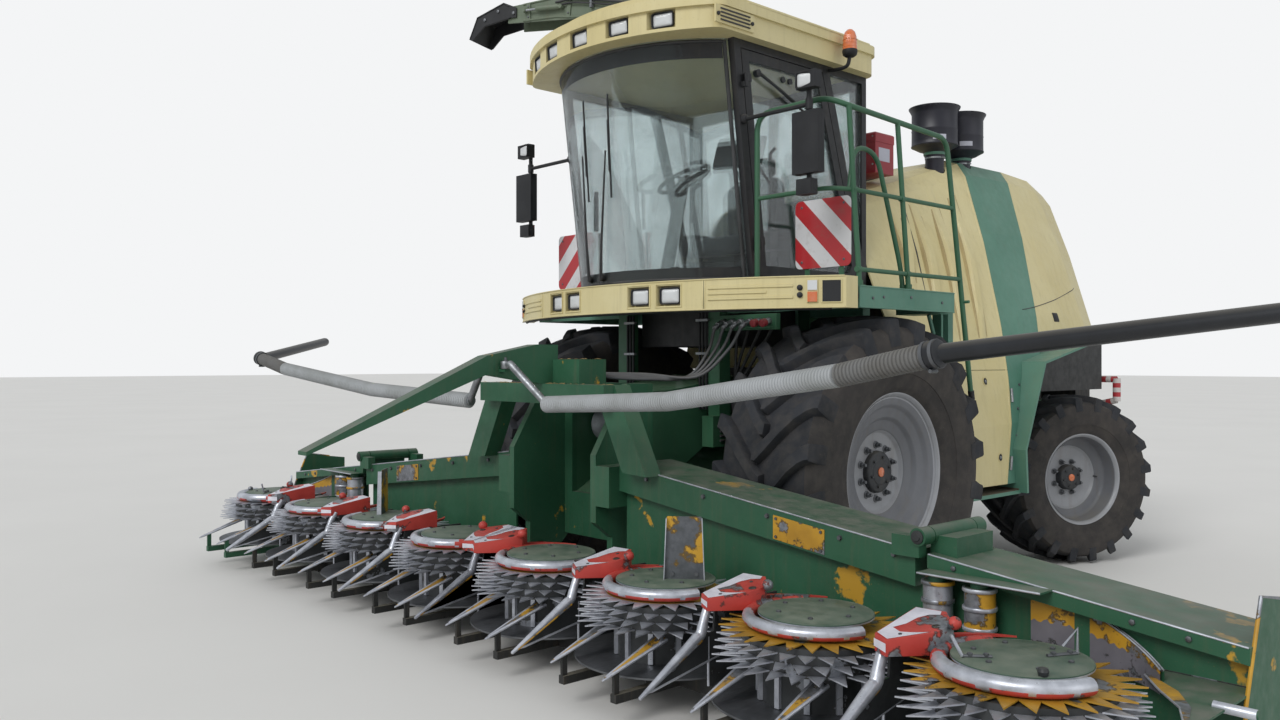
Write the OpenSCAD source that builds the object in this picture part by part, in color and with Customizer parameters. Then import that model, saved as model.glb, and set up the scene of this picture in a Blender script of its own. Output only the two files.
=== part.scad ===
// Self-propelled forage harvester with a row-independent maize header.
// X points to the machine's left, Y to its rear, Z up. Y places below are counted from the front axle.

/* [Overall] */
// Front axle to the tip of the long centre divider
nose_len = 3110; // [2900:10:3400]
// Front axle to the back of the hood
tail_len = 4500; // [4300:10:4800]
// Front axle to rear axle
wheelbase = 3200; // [3150:10:3230]
// Half of the width across the tube ends
bar_reach = 4000; // [3950:10:4100]

/* [Wheels] */
// Radius of a front tyre at its lug tips
front_tyre_r = 970; // [950:5:975]
// Width of a front tyre
front_tyre_w = 730; // [700:5:740]
// Radius of a front rim's flange
front_rim_r = 503; // [480:1:520]
// Centre of a front wheel from the middle
front_wheel_x = 1210; // [1200:5:1240]
// Radius of a rear tyre at its lug tips
rear_tyre_r = 690; // [670:5:700]
// Width of a rear tyre
rear_tyre_w = 540; // [500:10:560]
// Radius of a rear rim's flange
rear_rim_r = 375; // [360:1:390]
// Centre of a rear wheel from the middle
rear_wheel_x = 1130; // [1125:5:1150]
// Thickness of a rim's disc
disc_t = 16; // [10:1:20]
// Radius of an axle stub
stub_r = 70; // [50:1:80]
// Radius of a kingpin
kingpin_r = 35; // [25:1:40]
// Kingpin from the middle
kingpin_x = 800; // [795:5:805]
// How far the rear wheels stand turned, their fronts towards the right
rest_steer = 24; // [0:1:28]

/* [Cab] */
// Half width of the cab
cab_half_w = 850; // [820:5:880]
// Height of the cab floor's underside
cab_floor_z = 2060; // [2050:5:2080]
// Thickness of the cab floor
cab_floor_t = 100; // [80:5:110]
// Height of the roof's underside
roof_z = 3640; // [3600:5:3680]
// Thickness of the roof
roof_t = 260; // [200:5:280]
// Thickness of the cab's walls and door
wall_t = 45; // [40:1:60]
// Thickness of the glass
glass_t = 8; // [5:1:12]
// How far the windscreen bulges ahead of the pillars
screen_bulge = 400; // [380:5:420]

/* [Body] */
// Thickness of a hood panel
panel_t = 12; // [8:1:20]
// Height of the hood's top
hood_top_z = 3350; // [3300:10:3400]
// Height of the body's lower edge
body_bottom_z = 750; // [720:5:800]
// Half width of the body at its lower edge
body_half_w = 1330; // [1300:5:1350]
// Width of a frame rail
rail_w = 100; // [80:5:110]
// Height of a frame rail
rail_h = 200; // [180:5:220]
// Underside of the frame rails
rail_z = 1100; // [1080:5:1110]
// Radius of a handrail tube
handrail_r = 17; // [14:1:20]

/* [Header] */
// Distance between neighbouring rotors
rotor_pitch = 937.5; // [930:0.5:950]
// Rotor shafts ahead of the front axle
rotor_y = -1850; // [-1870:5:-1840]
// Radius of a rotor's toothed discs
rotor_r = 455; // [440:1:457]
// Radius of a rotor's top cover
cover_r = 250; // [240:5:255]
// Half of the header's width over its end plates
header_half_w = 3900; // [3800:10:3920]
// Wing hinge from the middle
fold_x = 2600; // [2580:5:2610]
// Height of the wing hinge's pin
fold_z = 885; // [880:5:900]
// Radius of the wing hinge's pin
fold_pin_r = 20; // [15:1:25]
// Radius of the crop bar's black tube
bar_r = 37; // [30:1:40]
// Radius of the crop bar's ribbed sleeve
sleeve_r = 47; // [44:1:50]

/* [Spout] */
// Height of the spout's turning ring
turret_z = 3130; // [3100:10:3150]
// Spout's turning axis behind the front axle
turret_y = 1500; // [1450:10:1520]
// Radius of the turning ring
turret_r = 290; // [270:5:300]
// Angle of the spout ahead of straight sideways
spout_turn = 22; // [0:1:30]

/* [Hidden] */
$fn = 48;

fit_gap = 0.08;
seat_gap = 0.3;
move_gap = 6;
e = 1;
axle_y = (nose_len - tail_len) / 2;

green = [0.31, 0.5, 0.4];
header_green = [0.14, 0.36, 0.2];
cream = [0.8, 0.74, 0.52];
black = [0.09, 0.09, 0.1];
dark = [0.2, 0.2, 0.2];
silver = [0.62, 0.62, 0.64];
red = [0.65, 0.12, 0.12];

// A bend is a little thicker than its tube
bend_swell = 1.04;

module at_axle() translate([0, axle_y, 0]) children();

module both_sides() {
    children();
    mirror([1, 0, 0]) children();
}

// A round bar between two points
module rod(a, b, r) {
    d = b - a;
    flat = norm([d[0], d[1]]);
    translate(a) rotate([0, atan2(flat, d[2]), atan2(d[1], d[0])]) cylinder(r = r, h = norm(d));
}

// A bent tube through a list of points
module bent_tube(points, r) {
    for (i = [0 : len(points) - 2]) rod(points[i], points[i + 1], r);
    for (i = [1 : len(points) - 2]) translate(points[i]) sphere(r = r * bend_swell);
}

// A tube with flat sides, swept through a list of points that runs mostly along X
swept_sides = 16;

function along(points, i) =
    let (d = points[min(i + 1, len(points) - 1)] - points[max(i - 1, 0)]) d / norm(d);
function swept_ring(at, dir, r) =
    let (side = cross(dir, [0, 0, 1]), u = side / norm(side), v = cross(dir, u), step = 360 / swept_sides)
    [for (k = [0 : swept_sides - 1]) at + r * (cos(k * step) * u + sin(k * step) * v)];

module swept_tube(points, r) {
    n = swept_sides;
    last = (len(points) - 1) * n;
    polyhedron(
        [for (i = [0 : len(points) - 1]) each swept_ring(points[i], along(points, i), r)],
        concat(
            [[for (k = [0 : n - 1]) k], [for (k = [n - 1 : -1 : 0]) last + k]],
            [for (i = [0 : len(points) - 2]) for (k = [0 : n - 1])
                [i * n + k, (i + 1) * n + (k + 1) % n, i * n + (k + 1) % n]],
            [for (i = [0 : len(points) - 2]) for (k = [0 : n - 1])
                [i * n + k, (i + 1) * n + k, (i + 1) * n + (k + 1) % n]]
        ));
}

// A plate with its outline in Y and Z, from x0 to x1
module side_plate(x0, x1, outline) {
    translate([x0, 0, 0]) rotate([90, 0, 90]) linear_extrude(height = x1 - x0) polygon(outline);
}

// A drum along X from x0 to x1
module drum_x(x0, x1, r, y = 0, z = 0) {
    translate([x0, y, z]) rotate([0, 90, 0]) cylinder(r = r, h = x1 - x0);
}

// Wheels: the rim's disc is set in from the outer flange by the inset
front_rim_w = 600;
rear_rim_w = 460;
front_inset = 150;
rear_inset = 200;
flange_t = 12;
barrel_t = 14;
flange_h = 20;

// A lug runs from the tread's middle to its shoulder, and the two sides' lugs stand between each other.
// Around the tyre each lug takes four stations: its top's two edges, then the groove's
stations = [0, 0.4, 0.52, 0.88];
lug_middle_x = 14;
lug_turn = 19;
front_lug_h = 55;
rear_lug_h = 42;
front_lugs = 20;
rear_lugs = 18;

module tyre(r, w, rim_r, rim_w, lugs, lug_h) {
    // The bead's flat sides, each over the widest pair of stations, clear the round rim
    bead_r = (rim_r - flange_h + seat_gap) / cos(stations[2] * 180 / lugs);
    bead_w = rim_w / 2 - flange_t - seat_gap;
    h = r - bead_r;
    n = 4 * lugs;
    half_n = n / 2;
    // Rings across the tyre: X, radius, drop in a groove, turn
    rings = [[bead_w, rim_r + 6, 0, lug_turn], [w / 2, bead_r + 0.52 * h, 0, lug_turn],
        [w / 2 - 32, r - 28, lug_h - 6, lug_turn], [lug_middle_x, r, lug_h, 0]];
    function angle(k, turn) = 90 + (floor(k / 4) + stations[k % 4]) * 360 / lugs - turn;
    function spot(x, radius, a) = [x, radius * cos(a), radius * sin(a)];
    function ring_points(g, side) = [for (k = [0 : n - 1])
        let (groove = (k % 4 > 1) == (side > 0))
        spot(side * g[0], g[1] - (groove ? g[2] : 0), angle(k, g[3]))];
    // Six rings with all stations, then two bead rings with half of them
    all_points = concat(
        [for (i = [0 : 3]) each ring_points(rings[i], -1)],
        [for (i = [3 : -1 : 0]) each ring_points(rings[i], 1)],
        [for (side = [1, -1]) for (k = [0 : half_n - 1]) spot(side * bead_w, bead_r, angle(2 * k, lug_turn))]);
    b0 = 8 * n;
    b1 = b0 + half_n;
    color(dark) polyhedron(all_points, concat(
        [for (i = [0 : 6]) for (k = [0 : n - 1]) [i * n + k, i * n + (k + 1) % n, (i + 1) * n + (k + 1) % n]],
        [for (i = [0 : 6]) for (k = [0 : n - 1]) [i * n + k, (i + 1) * n + (k + 1) % n, (i + 1) * n + k]],
        [for (k = [0 : half_n - 1]) each [[7 * n + 2 * k, 7 * n + 2 * k + 1, b0 + k],
            [7 * n + 2 * k + 1, 7 * n + (2 * k + 2) % n, b0 + (k + 1) % half_n],
            [7 * n + 2 * k + 1, b0 + (k + 1) % half_n, b0 + k]]],
        [for (k = [0 : half_n - 1]) each [[b0 + k, b0 + (k + 1) % half_n, b1 + (k + 1) % half_n],
            [b0 + k, b1 + (k + 1) % half_n, b1 + k]]],
        [for (k = [0 : half_n - 1]) each [[b1 + k, 2 * k + 1, 2 * k],
            [b1 + k, b1 + (k + 1) % half_n, 2 * k + 1],
            [b1 + (k + 1) % half_n, (2 * k + 2) % n, 2 * k + 1]]]
    ));
}

// The dish steps out from a flat disc to the barrel, through a list of radii and rises
front_dish = [[245, 0], [262, 34], [325, 44], [342, 74], [402, 84], [420, 112], [480, 120]];
rear_dish = [[250, 0], [268, 30], [320, 42], [352, 62]];

module rim(rim_r, rim_w, inset, dish, hub_r, hub_out) {
    out = rim_w / 2;
    barrel_r = rim_r - flange_h;
    disc_x = out - inset;
    color(silver) rotate([0, 90, 0]) difference() {
        union() {
            rotate_extrude($fn = 96) polygon([[barrel_r - barrel_t, -out], [rim_r, -out],
                [rim_r, flange_t - out], [barrel_r, flange_t - out], [barrel_r, out - flange_t],
                [rim_r, out - flange_t], [rim_r, out], [barrel_r - barrel_t, out]]);
            translate([0, 0, disc_x]) rotate_extrude($fn = 96) polygon(concat([[0, -disc_t], [dish[0][0], -disc_t]],
                [for (i = [1 : len(dish) - 1]) [min(dish[i][0], barrel_r - e), dish[i][1] - disc_t]],
                [for (i = [len(dish) - 1 : -1 : 0]) [min(dish[i][0], barrel_r - e), dish[i][1]]], [[0, 0]]));
            translate([0, 0, disc_x - e]) cylinder(r = hub_r, h = hub_out + e);
        }
        translate([0, 0, disc_x - disc_t - e]) cylinder(r = stub_r + fit_gap, h = disc_t + hub_out - 12);
    }
}

module front_tyre() tyre(front_tyre_r, front_tyre_w, front_rim_r, front_rim_w, front_lugs, front_lug_h);
module rear_tyre() tyre(rear_tyre_r, rear_tyre_w, rear_rim_r, rear_rim_w, rear_lugs, rear_lug_h);
module front_rim() rim(front_rim_r, front_rim_w, front_inset, front_dish, 130, 36);
module rear_rim() rim(rear_rim_r, rear_rim_w, rear_inset, rear_dish, 104, 60);
module at_front_wheel() translate([front_wheel_x, 0, front_tyre_r]) children();
// Both rear wheels are turned the same way, so the mirrored right one takes the turn the other way round
module at_swivel(turn) translate([kingpin_x, wheelbase, 0]) rotate([0, 0, turn]) children();
module at_rear_wheel(turn) at_swivel(turn) translate([rear_wheel_x - kingpin_x, 0, rear_tyre_r]) children();

// Chassis
rail_out_x = 500;
rail_in_x = rail_out_x - rail_w;
rail_top_z = rail_z + rail_h;
frame_front_y = -560;
frame_back_y = 4150;
axle_tube_r = 130;
drum_r = 210;
front_disc_x = front_wheel_x + front_rim_w / 2 - front_inset;
rear_disc_x = rear_wheel_x - kingpin_x + rear_rim_w / 2 - rear_inset;

module frame() color(green) {
    both_sides() translate([rail_in_x, frame_front_y, rail_z])
        cube([rail_w, frame_back_y - frame_front_y, rail_h]);
    for (y = [1900, wheelbase - 100, frame_back_y - 160])
        translate([-rail_in_x - e, y, rail_z]) cube([2 * rail_in_x + 2 * e, 160, rail_h]);
    // Cab posts
    both_sides() for (y = [-500, 430]) translate([rail_in_x, y, rail_top_z - e])
        cube([rail_w, 100, cab_floor_z - rail_top_z + e]);
    // Outriggers that carry the body's sides
    both_sides() for (y = [1200, 1760]) translate([rail_out_x - e, y, rail_z])
        cube([body_x(y, rail_z + 40) - panel_t - seat_gap - rail_out_x + e, 60, 40]);
}

module front_axle() color(green) {
    both_sides() {
        drum_x(-e, 790, axle_tube_r, 0, front_tyre_r);
        drum_x(780, front_disc_x - disc_t - 14, drum_r, 0, front_tyre_r);
        drum_x(front_disc_x - disc_t - 20, front_disc_x + 12, stub_r, 0, front_tyre_r);
        translate([rail_in_x, -110, front_tyre_r]) cube([rail_w, 220, rail_z - front_tyre_r]);
    }
}

beam_h = 170;
fork_h = 60;
eye_h = 220;

module rear_axle() color(green) {
    difference() {
        union() {
            translate([-150, wheelbase - 100, rear_tyre_r]) cube([300, 200, rail_z - rear_tyre_r]);
            translate([-kingpin_x + 90, wheelbase - 75, rear_tyre_r - beam_h / 2])
                cube([2 * kingpin_x - 180, 150, beam_h]);
            both_sides() for (z = [rear_tyre_r - eye_h / 2 - fork_h, rear_tyre_r + eye_h / 2]) {
                translate([kingpin_x - 130, wheelbase - 60, z]) cube([130, 120, fork_h]);
                translate([kingpin_x, wheelbase, z]) cylinder(r = 60, h = fork_h);
            }
            both_sides() translate([kingpin_x - 140, wheelbase - 60, rear_tyre_r - eye_h / 2 - fork_h])
                cube([60, 120, eye_h + 2 * fork_h]);
        }
        both_sides() translate([kingpin_x, wheelbase, 0]) cylinder(r = kingpin_r + fit_gap, h = 2 * rear_tyre_r);
    }
}

// The swivel's eye turns between the fork's ears on the kingpin
module knuckle() color(dark) {
    eye = eye_h - 2 * seat_gap;
    translate([0, 0, rear_tyre_r - eye / 2]) cylinder(r = 60, h = eye);
    translate([0, 0, rear_tyre_r - eye_h / 2 - fork_h]) cylinder(r = kingpin_r, h = eye_h + 2 * fork_h);
    drum_x(0, rear_disc_x - disc_t - 10, 90, 0, rear_tyre_r);
    drum_x(0, rear_disc_x + 30, stub_r, 0, rear_tyre_r);
}

module engine() color(dark) translate([-rail_out_x, 2480, rail_top_z]) cube([2 * rail_out_x, 1400, 950]);

// The chopper drum's housing, with the duct that rises to the spout's turning ring
chop_half_w = rail_in_x;
lift_y = 0;
lift_z = 1400;
lift_pin_r = 40;
cheek_t = 30;

module chopper_housing() color(dark) {
    translate([-chop_half_w, 190, 760]) cube([2 * chop_half_w, 560, 850]);
    both_sides() {
        side_plate(chop_half_w - cheek_t, chop_half_w,
            [[-90, 1310], [200, 1150], [200, 1500], [-90, 1490]]);
        drum_x(chop_half_w - cheek_t - 25, chop_half_w, lift_pin_r, lift_y, lift_z);
    }
    side_plate(-180, 180, [[740, 900], [740, 1250], [turret_y - 160, 2150], [turret_y - 160, turret_z - 60],
        [turret_y + 160, turret_z - 60], [turret_y + 160, 1900], [1250, 1150]]);
    translate([0, turret_y, turret_z - 60]) cylinder(r = turret_r, h = 60);
}

// Cab: the side frame's outline in Y and Z, with the front edge leaning forward
floor_top_z = cab_floor_z + cab_floor_t;
cab_back_y = 620;
pillar_foot_y = -560;
pillar_top_y = -750;
lean = atan((pillar_foot_y - pillar_top_y) / (roof_z - floor_top_z));
screen_chord = cab_half_w - wall_t;
screen_r = (screen_chord * screen_chord + screen_bulge * screen_bulge) / (2 * screen_bulge);

function lean_y(z) = pillar_foot_y - (z - floor_top_z) * tan(lean);

door_front = 60;
door_outline = [[lean_y(2190) + door_front, 2190], [470, 2190], [530, 2310], [130, 3590],
    [lean_y(3590) + door_front, 3590]];
side_outline = [[pillar_foot_y, floor_top_z], [cab_back_y, floor_top_z], [cab_back_y, roof_z],
    [pillar_top_y, roof_z]];
quarter_outline = [[570, 2420], [570, 3590], [205, 3590]];

// The door's hinges stand on the leaning pillar, their axis just outside the cab's side
hinge_off = 24;
hinge_zs = [2350, 3350];
hinge_r = 13;
hinge_pin_r = 7;

module at_hinge(z) translate([cab_half_w + hinge_off, lean_y(z) + door_front + 2, z])
    rotate([lean, 0, 0]) children();

module slab(x0, x1, outline, grow = 0) {
    translate([x0, 0, 0]) rotate([90, 0, 90]) linear_extrude(height = x1 - x0)
        offset(delta = grow) polygon(outline);
}

// Plan of the cab's front, an arc between the pillars
module cab_plan(grow) {
    translate([0, pillar_foot_y + screen_r - screen_bulge, 0]) circle(r = screen_r + grow, $fn = 96);
}

module cab_floor() color(black) {
    translate([0, 0, cab_floor_z]) linear_extrude(height = cab_floor_t) {
        translate([-cab_half_w, pillar_foot_y]) square([2 * cab_half_w, cab_back_y - pillar_foot_y]);
        intersection() {
            cab_plan(0);
            translate([-screen_chord, pillar_foot_y - screen_bulge]) square([2 * screen_chord, screen_bulge + e]);
        }
    }
    translate([-380, -380, 1760]) cube([760, 800, cab_floor_z - 1760]);
}

module cab_frame() color(black) {
    cab_walls();
    for (z = hinge_zs) at_hinge(z) {
        cylinder(r = hinge_r, h = 30);
        cylinder(r = hinge_pin_r, h = 85);
        translate([-hinge_off, -30, 0]) cube([hinge_off, 28, 30]);
    }
}

module cab_walls() difference() {
    union() {
        side_plate(-cab_half_w, -cab_half_w + wall_t, side_outline);
        side_plate(cab_half_w - wall_t, cab_half_w, side_outline);
        translate([-cab_half_w, cab_back_y - wall_t, floor_top_z])
            cube([2 * cab_half_w, wall_t, roof_z - floor_top_z]);
    }
    slab(cab_half_w - wall_t - e, cab_half_w + e, door_outline);
    slab(-cab_half_w - e, -cab_half_w + wall_t + e, door_outline);
    both_sides() slab(cab_half_w - wall_t - e, cab_half_w + e, quarter_outline);
    translate([-cab_half_w + 110, cab_back_y - wall_t - e, floor_top_z + 300])
        cube([2 * cab_half_w - 220, wall_t + 2 * e, roof_z - floor_top_z - 380]);
}

module cab_glass() color([0.5, 0.62, 0.66, 0.4]) {
    // Windscreen, leaning forward with the pillars
    intersection() {
        translate([0, 0, floor_top_z]) lean_over() difference() {
            translate([0, 0, -100]) linear_extrude(height = roof_z - floor_top_z + 200) difference() {
                screen_plan(0);
                screen_plan(-glass_t);
            }
        }
        translate([-screen_chord + seat_gap, -2000, floor_top_z + seat_gap])
            cube([2 * screen_chord - 2 * seat_gap, 2000, roof_z - floor_top_z - 2 * seat_gap]);
    }
    slab(-cab_half_w + 18, -cab_half_w + 18 + glass_t, door_outline, -seat_gap);
    both_sides() slab(cab_half_w - 18 - glass_t, cab_half_w - 18, quarter_outline, -seat_gap);
    translate([-cab_half_w + 110 + seat_gap, cab_back_y - 18 - glass_t, floor_top_z + 300 + seat_gap])
        cube([2 * cab_half_w - 220 - 2 * seat_gap, glass_t, roof_z - floor_top_z - 380 - 2 * seat_gap]);
}

module lean_over() translate([0, pillar_foot_y, 0]) rotate([lean, 0, 0]) children();

module screen_plan(grow) intersection() {
    translate([0, screen_r - screen_bulge]) circle(r = screen_r + grow, $fn = 96);
    translate([-screen_chord, -screen_bulge - 50]) square([2 * screen_chord, screen_bulge + 90]);
}

roof_half_w = 950;
roof_front_y = -1300;
roof_back_y = 660;

// The roof's plan, with a round front
module roof_plan(shrink) offset(r = 120 - shrink) offset(delta = -120) intersection() {
    translate([-roof_half_w, roof_front_y]) square([2 * roof_half_w, roof_back_y - roof_front_y]);
    translate([0, roof_front_y + 1500]) union() {
        circle(r = 1500, $fn = 96);
        translate([-roof_half_w, 0]) square([2 * roof_half_w, 2000]);
    }
}

roof_lamp_x = [-620, -330, 0, 330, 620];

// The visor's front edge at a given place across
function roof_edge_y(x) = roof_front_y + 20 + 1500 - sqrt(1500 * 1500 - x * x);

module cab_roof() color(cream) {
    difference() {
        translate([0, 0, roof_z]) linear_extrude(height = 130) roof_plan(20);
        for (x = roof_lamp_x) translate([x - 85, roof_edge_y(x) - 100, roof_z + 20]) cube([170, 160, 109]);
    }
    translate([0, 0, roof_z + 130]) linear_extrude(height = 60) roof_plan(0);
    translate([0, 0, roof_z + 190]) linear_extrude(height = roof_t - 190) roof_plan(110);
}

module seat() color(black) {
    translate([-180, 60, floor_top_z]) cube([360, 320, 260]);
    translate([-260, -20, floor_top_z + 260]) cube([520, 500, 130]);
    translate([-240, 380, floor_top_z + 389]) cube([480, 110, 620]);
    translate([180, 0, floor_top_z + 389]) cube([80, 370, 160]);
}

wheel_y = -330;
wheel_z = 2930;

module steering_column() color(black) {
    translate([0, -520, floor_top_z]) cylinder(r = 70, h = 40);
    rod([0, -520, floor_top_z + 25], [0, wheel_y - 20, wheel_z - 60], 45);
    translate([0, wheel_y, wheel_z]) rotate([35, 0, 0]) {
        rotate_extrude() translate([190, 0]) circle(r = 15, $fn = 24);
        for (a = [30, 150, 270]) rotate([0, 0, a]) rod([0, 0, 0], [190, 0, 0], 12);
        translate([0, 0, -50]) cylinder(r = 45, h = 60);
    }
}

// Light bar across the front, bulging forward in the middle
bar_half = 1567;
bar_end_y = -580;
bar_mid_y = -1080;
bar_low_z = 1965;
bar_top_z = 2149;
bar_deep = 110;
bar_plan_r = (bar_half * bar_half + pow(bar_mid_y - bar_end_y, 2)) / (2 * (bar_end_y - bar_mid_y));

// The bar's front surface at a given place across
function bar_y(x) = bar_mid_y + bar_plan_r - sqrt(bar_plan_r * bar_plan_r - x * x);

bar_xs = [for (i = [-12 : 12]) i / 12 * bar_half];

module bar_outline() polygon(concat([for (x = bar_xs) [x, bar_y(x)]],
    [for (i = [24 : -1 : 0]) [bar_xs[i], bar_y(bar_xs[i]) + bar_deep]]));

lamp_w = 150;
lamp_h = 100;
lamp_x = [330, 560];

module light_bar() color(cream) {
    difference() {
        translate([0, 0, bar_low_z]) linear_extrude(height = bar_top_z - bar_low_z) bar_outline();
        both_sides() for (x = lamp_x) translate([x - lamp_w / 2 - 12, bar_y(x) - 100, bar_low_z + 32])
            cube([lamp_w + 24, 150, lamp_h + 24]);
    }
    // Arms back to the platforms
    both_sides() translate([1380, bar_y(1380) + 60, bar_low_z + 25])
        cube([80, deck_front_y - seat_gap - bar_y(1380) - 60, 90]);
}

module lamps() color(silver) {
    both_sides() for (x = lamp_x) translate([x - lamp_w / 2, bar_y(x) + 12, bar_low_z + 44])
        cube([lamp_w, 38 - seat_gap, lamp_h]);
    for (x = roof_lamp_x) translate([x - 75, roof_edge_y(x) + 20, roof_z + 30]) cube([150, 40 - seat_gap, 90]);
}

// Platforms over the front wheels
deck_z = 1970;
deck_top_z = 2100;
deck_out_x = 1550;
deck_front_y = -430;
deck_back_y = 600;
step_x = 1120;
step_out_x = 1420;
step_back_y = 800;
post_z = 1650;

module platforms() color(green) both_sides() {
    translate([cab_half_w + 1, deck_front_y, deck_top_z - 30])
        cube([deck_out_x - cab_half_w - 1, deck_back_y - deck_front_y, 30]);
    translate([deck_out_x - 20, deck_front_y, deck_z]) cube([20, deck_back_y - deck_front_y, 130]);
    translate([cab_half_w + 1, deck_front_y, deck_z]) cube([deck_out_x - cab_half_w - 1, 20, 130]);
    translate([step_x, deck_back_y - 20, deck_z]) cube([deck_out_x - step_x, 20, 130]);
    // Landing over the ladder, on a post behind the wheel
    translate([step_x, deck_back_y - e, deck_z]) cube([step_out_x - step_x, step_back_y - deck_back_y + e, 130]);
    translate([step_out_x - 120, step_back_y - 60, post_z]) cube([120, 60, deck_z - post_z + e]);
    // Brackets on the cab's posts
    for (b = [[deck_front_y, 28], [440, 80]]) {
        translate([rail_out_x, b[0], deck_z]) cube([400, b[1], cab_floor_z - deck_z - seat_gap]);
        translate([cab_half_w + 1, b[0], deck_z]) cube([100, b[1], 101]);
    }
}

rail_x = 1500;

// The rail beside the ladder leans back from its top to its foot
ladder_rail = [[rail_x, 610, 2960], [rail_x, 895, 1410]];

function ladder_rail_y(z) = ladder_rail[0][1]
    + (ladder_rail[1][1] - ladder_rail[0][1]) * (ladder_rail[0][2] - z) / (ladder_rail[0][2] - ladder_rail[1][2]);

module handrails() color(green) {
    top = deck_top_z;
    // Front hoop, open at its foot, and the tube along the top
    bent_tube([[rail_x, -290, top], [rail_x, -290, 2960], [rail_x, -700, 3130], [rail_x, -700, 2300],
        [rail_x, -400, 2170], [rail_x, -400, top]], handrail_r);
    rod([rail_x, -290, 2960], [rail_x, 560, 3010], handrail_r);
    bent_tube([[rail_x, 560, 3010], ladder_rail[0], ladder_rail[1]], handrail_r);
    translate([rail_x, 560, 3010]) sphere(r = handrail_r * bend_swell);
    rod([rail_x, 200, top], [rail_x, 200, 2980], handrail_r - 1);
    for (z = [2250, 2600]) rod([rail_x, -290, z], [rail_x, ladder_rail_y(z), z], handrail_r - 3);
    rod([rail_x, ladder_rail_y(2050), 2050], [step_out_x + seat_gap, ladder_rail_y(2050), 2050], 10);
    // Inner grab rail beside the door
    bent_tube([[rail_x - 40, 330, top], [rail_x - 40, 330, 2250], [rail_x - 40, 30, 2930],
        [rail_x - 40, -290, 2930], [rail_x, -290, 2860]], handrail_r - 2);
}

plate_size = 423;

module warning_plates() color([0.85, 0.82, 0.8]) both_sides() {
    translate([1420 - plate_size, -330, 2230]) cube([plate_size, 4, plate_size]);
    for (x = [1080, 1340]) translate([x - 15, -326, deck_top_z]) cube([30, 12, 500]);
}

mirror_x = 1360;
mirror_y = -655;

module mirrors() color(black) both_sides() {
    rod([cab_half_w, mirror_y, 3150], [mirror_x, mirror_y, 3150], 13);
    rod([mirror_x, mirror_y, 2680], [mirror_x, mirror_y, 3300], 15);
    translate([mirror_x - 80, mirror_y - 60, 2740]) cube([190, 60, 360]);
    translate([mirror_x - 50, mirror_y - 60, 3230]) cube([140, 60, 100]);
    translate([mirror_x - 50, mirror_y - 60, 2620]) cube([110, 60, 90]);
}

beacon_at = [cab_half_w + 170, 200];

module beacon() color([0.95, 0.45, 0.1]) translate([beacon_at[0], beacon_at[1], 0]) {
    rod([cab_half_w - beacon_at[0], 0, 3615], [0, 0, 3615], 12);
    rod([0, 0, 3600], [0, 0, 3695], 14);
    translate([0, 0, 3690]) cylinder(r = 50, h = 110);
    translate([0, 0, 3800]) sphere(r = 49);
}

// The hood is one shell through these sections, cut into its panels
// columns: Y, share of the width, height of the top
HOOD = [[640, 0.95, 2860], [2300, 1, 3340], [3000, 0.99, hood_top_z], [3500, 0.95, 3335], [3900, 0.86, 3250],
    [4200, 0.74, 3050], [4400, 0.57, 2700], [tail_len, 0.36, 2300]];
// columns: X, Z of the half section where the share is 1
SECTION = [[body_half_w, body_bottom_z], [1310, 1220], [1240, 1580], [1120, 2020], [885, 2690], [670, 3190],
    [580, 3300], [450, 3340]];

section_top = SECTION[len(SECTION) - 1][1];

// The sections' height at Y, as a share of the highest
function rise(top) = (top - body_bottom_z) / (section_top - body_bottom_z);

// The body's half width at Y and Z, for places ahead of the band and under the second point
function body_x(y, z) = (HOOD[0][1] + (1 - HOOD[0][1]) * (y - HOOD[0][0]) / (HOOD[1][0] - HOOD[0][0]))
    * (SECTION[0][0] + (SECTION[1][0] - SECTION[0][0]) * (z - SECTION[0][1])
    / (SECTION[1][1] - SECTION[0][1]) / rise(top_z(y)));

// The hood's top at Y, ahead of the band
function top_z(y) = HOOD[0][2] + (HOOD[1][2] - HOOD[0][2]) * (y - HOOD[0][0]) / (HOOD[1][0] - HOOD[0][0]);

function half(s, t) = [for (i = [0 : len(SECTION) - 1]) [SECTION[i][0] * s[1] - t,
    body_bottom_z + (SECTION[i][1] - body_bottom_z) * rise(s[2]) - (i > 4 ? t : 0)]];
function ring(s, t) = let (h = half(s, t)) concat(h, [for (i = [len(h) - 1 : -1 : 0]) [-h[i][0], h[i][1]]]);

module hood_solid(t) hull() for (s = HOOD)
    translate([0, s[0] - (s[0] > 4000 ? t : 0), 0]) rotate([90, 0, 0]) linear_extrude(height = 1)
        polygon(ring(s, t));

// Further than any panel reaches
wide = 2000;
far = 5000;

module hood_shell() difference() {
    hood_solid(0);
    hood_solid(panel_t);
    translate([-wide, 0, body_bottom_z - 50]) cube([2 * wide, far, 49]);
    translate([0, turret_y, 2500]) cylinder(r = turret_r + 30, h = 1000);
    for (i = [0, 1]) translate([intake_x, intake_y + i * intake_pitch, 2800]) cylinder(r = neck_r + 0.5, h = 700);
}

// Slanted cuts: band_a and band_b are the green band's front and back edges, in Y at the body's lower edge
band_a = 1740;
band_b = 2150;
slope_a = 0.2075;
slope_b = 0.325;
seam = 4;
above = 3600;

function cut_front(y, k, shift) = [[-100, -100], [y + shift - k * (body_bottom_z + 100), -100],
    [y + shift + k * (above - body_bottom_z), above], [-100, above]];
function cut_back(y, k, shift) = [[far, -100], [y + shift - k * (body_bottom_z + 100), -100],
    [y + shift + k * (above - body_bottom_z), above], [far, above]];

// The upper side panels end on the lower doors at this height
door_line_z = 1590;
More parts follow.
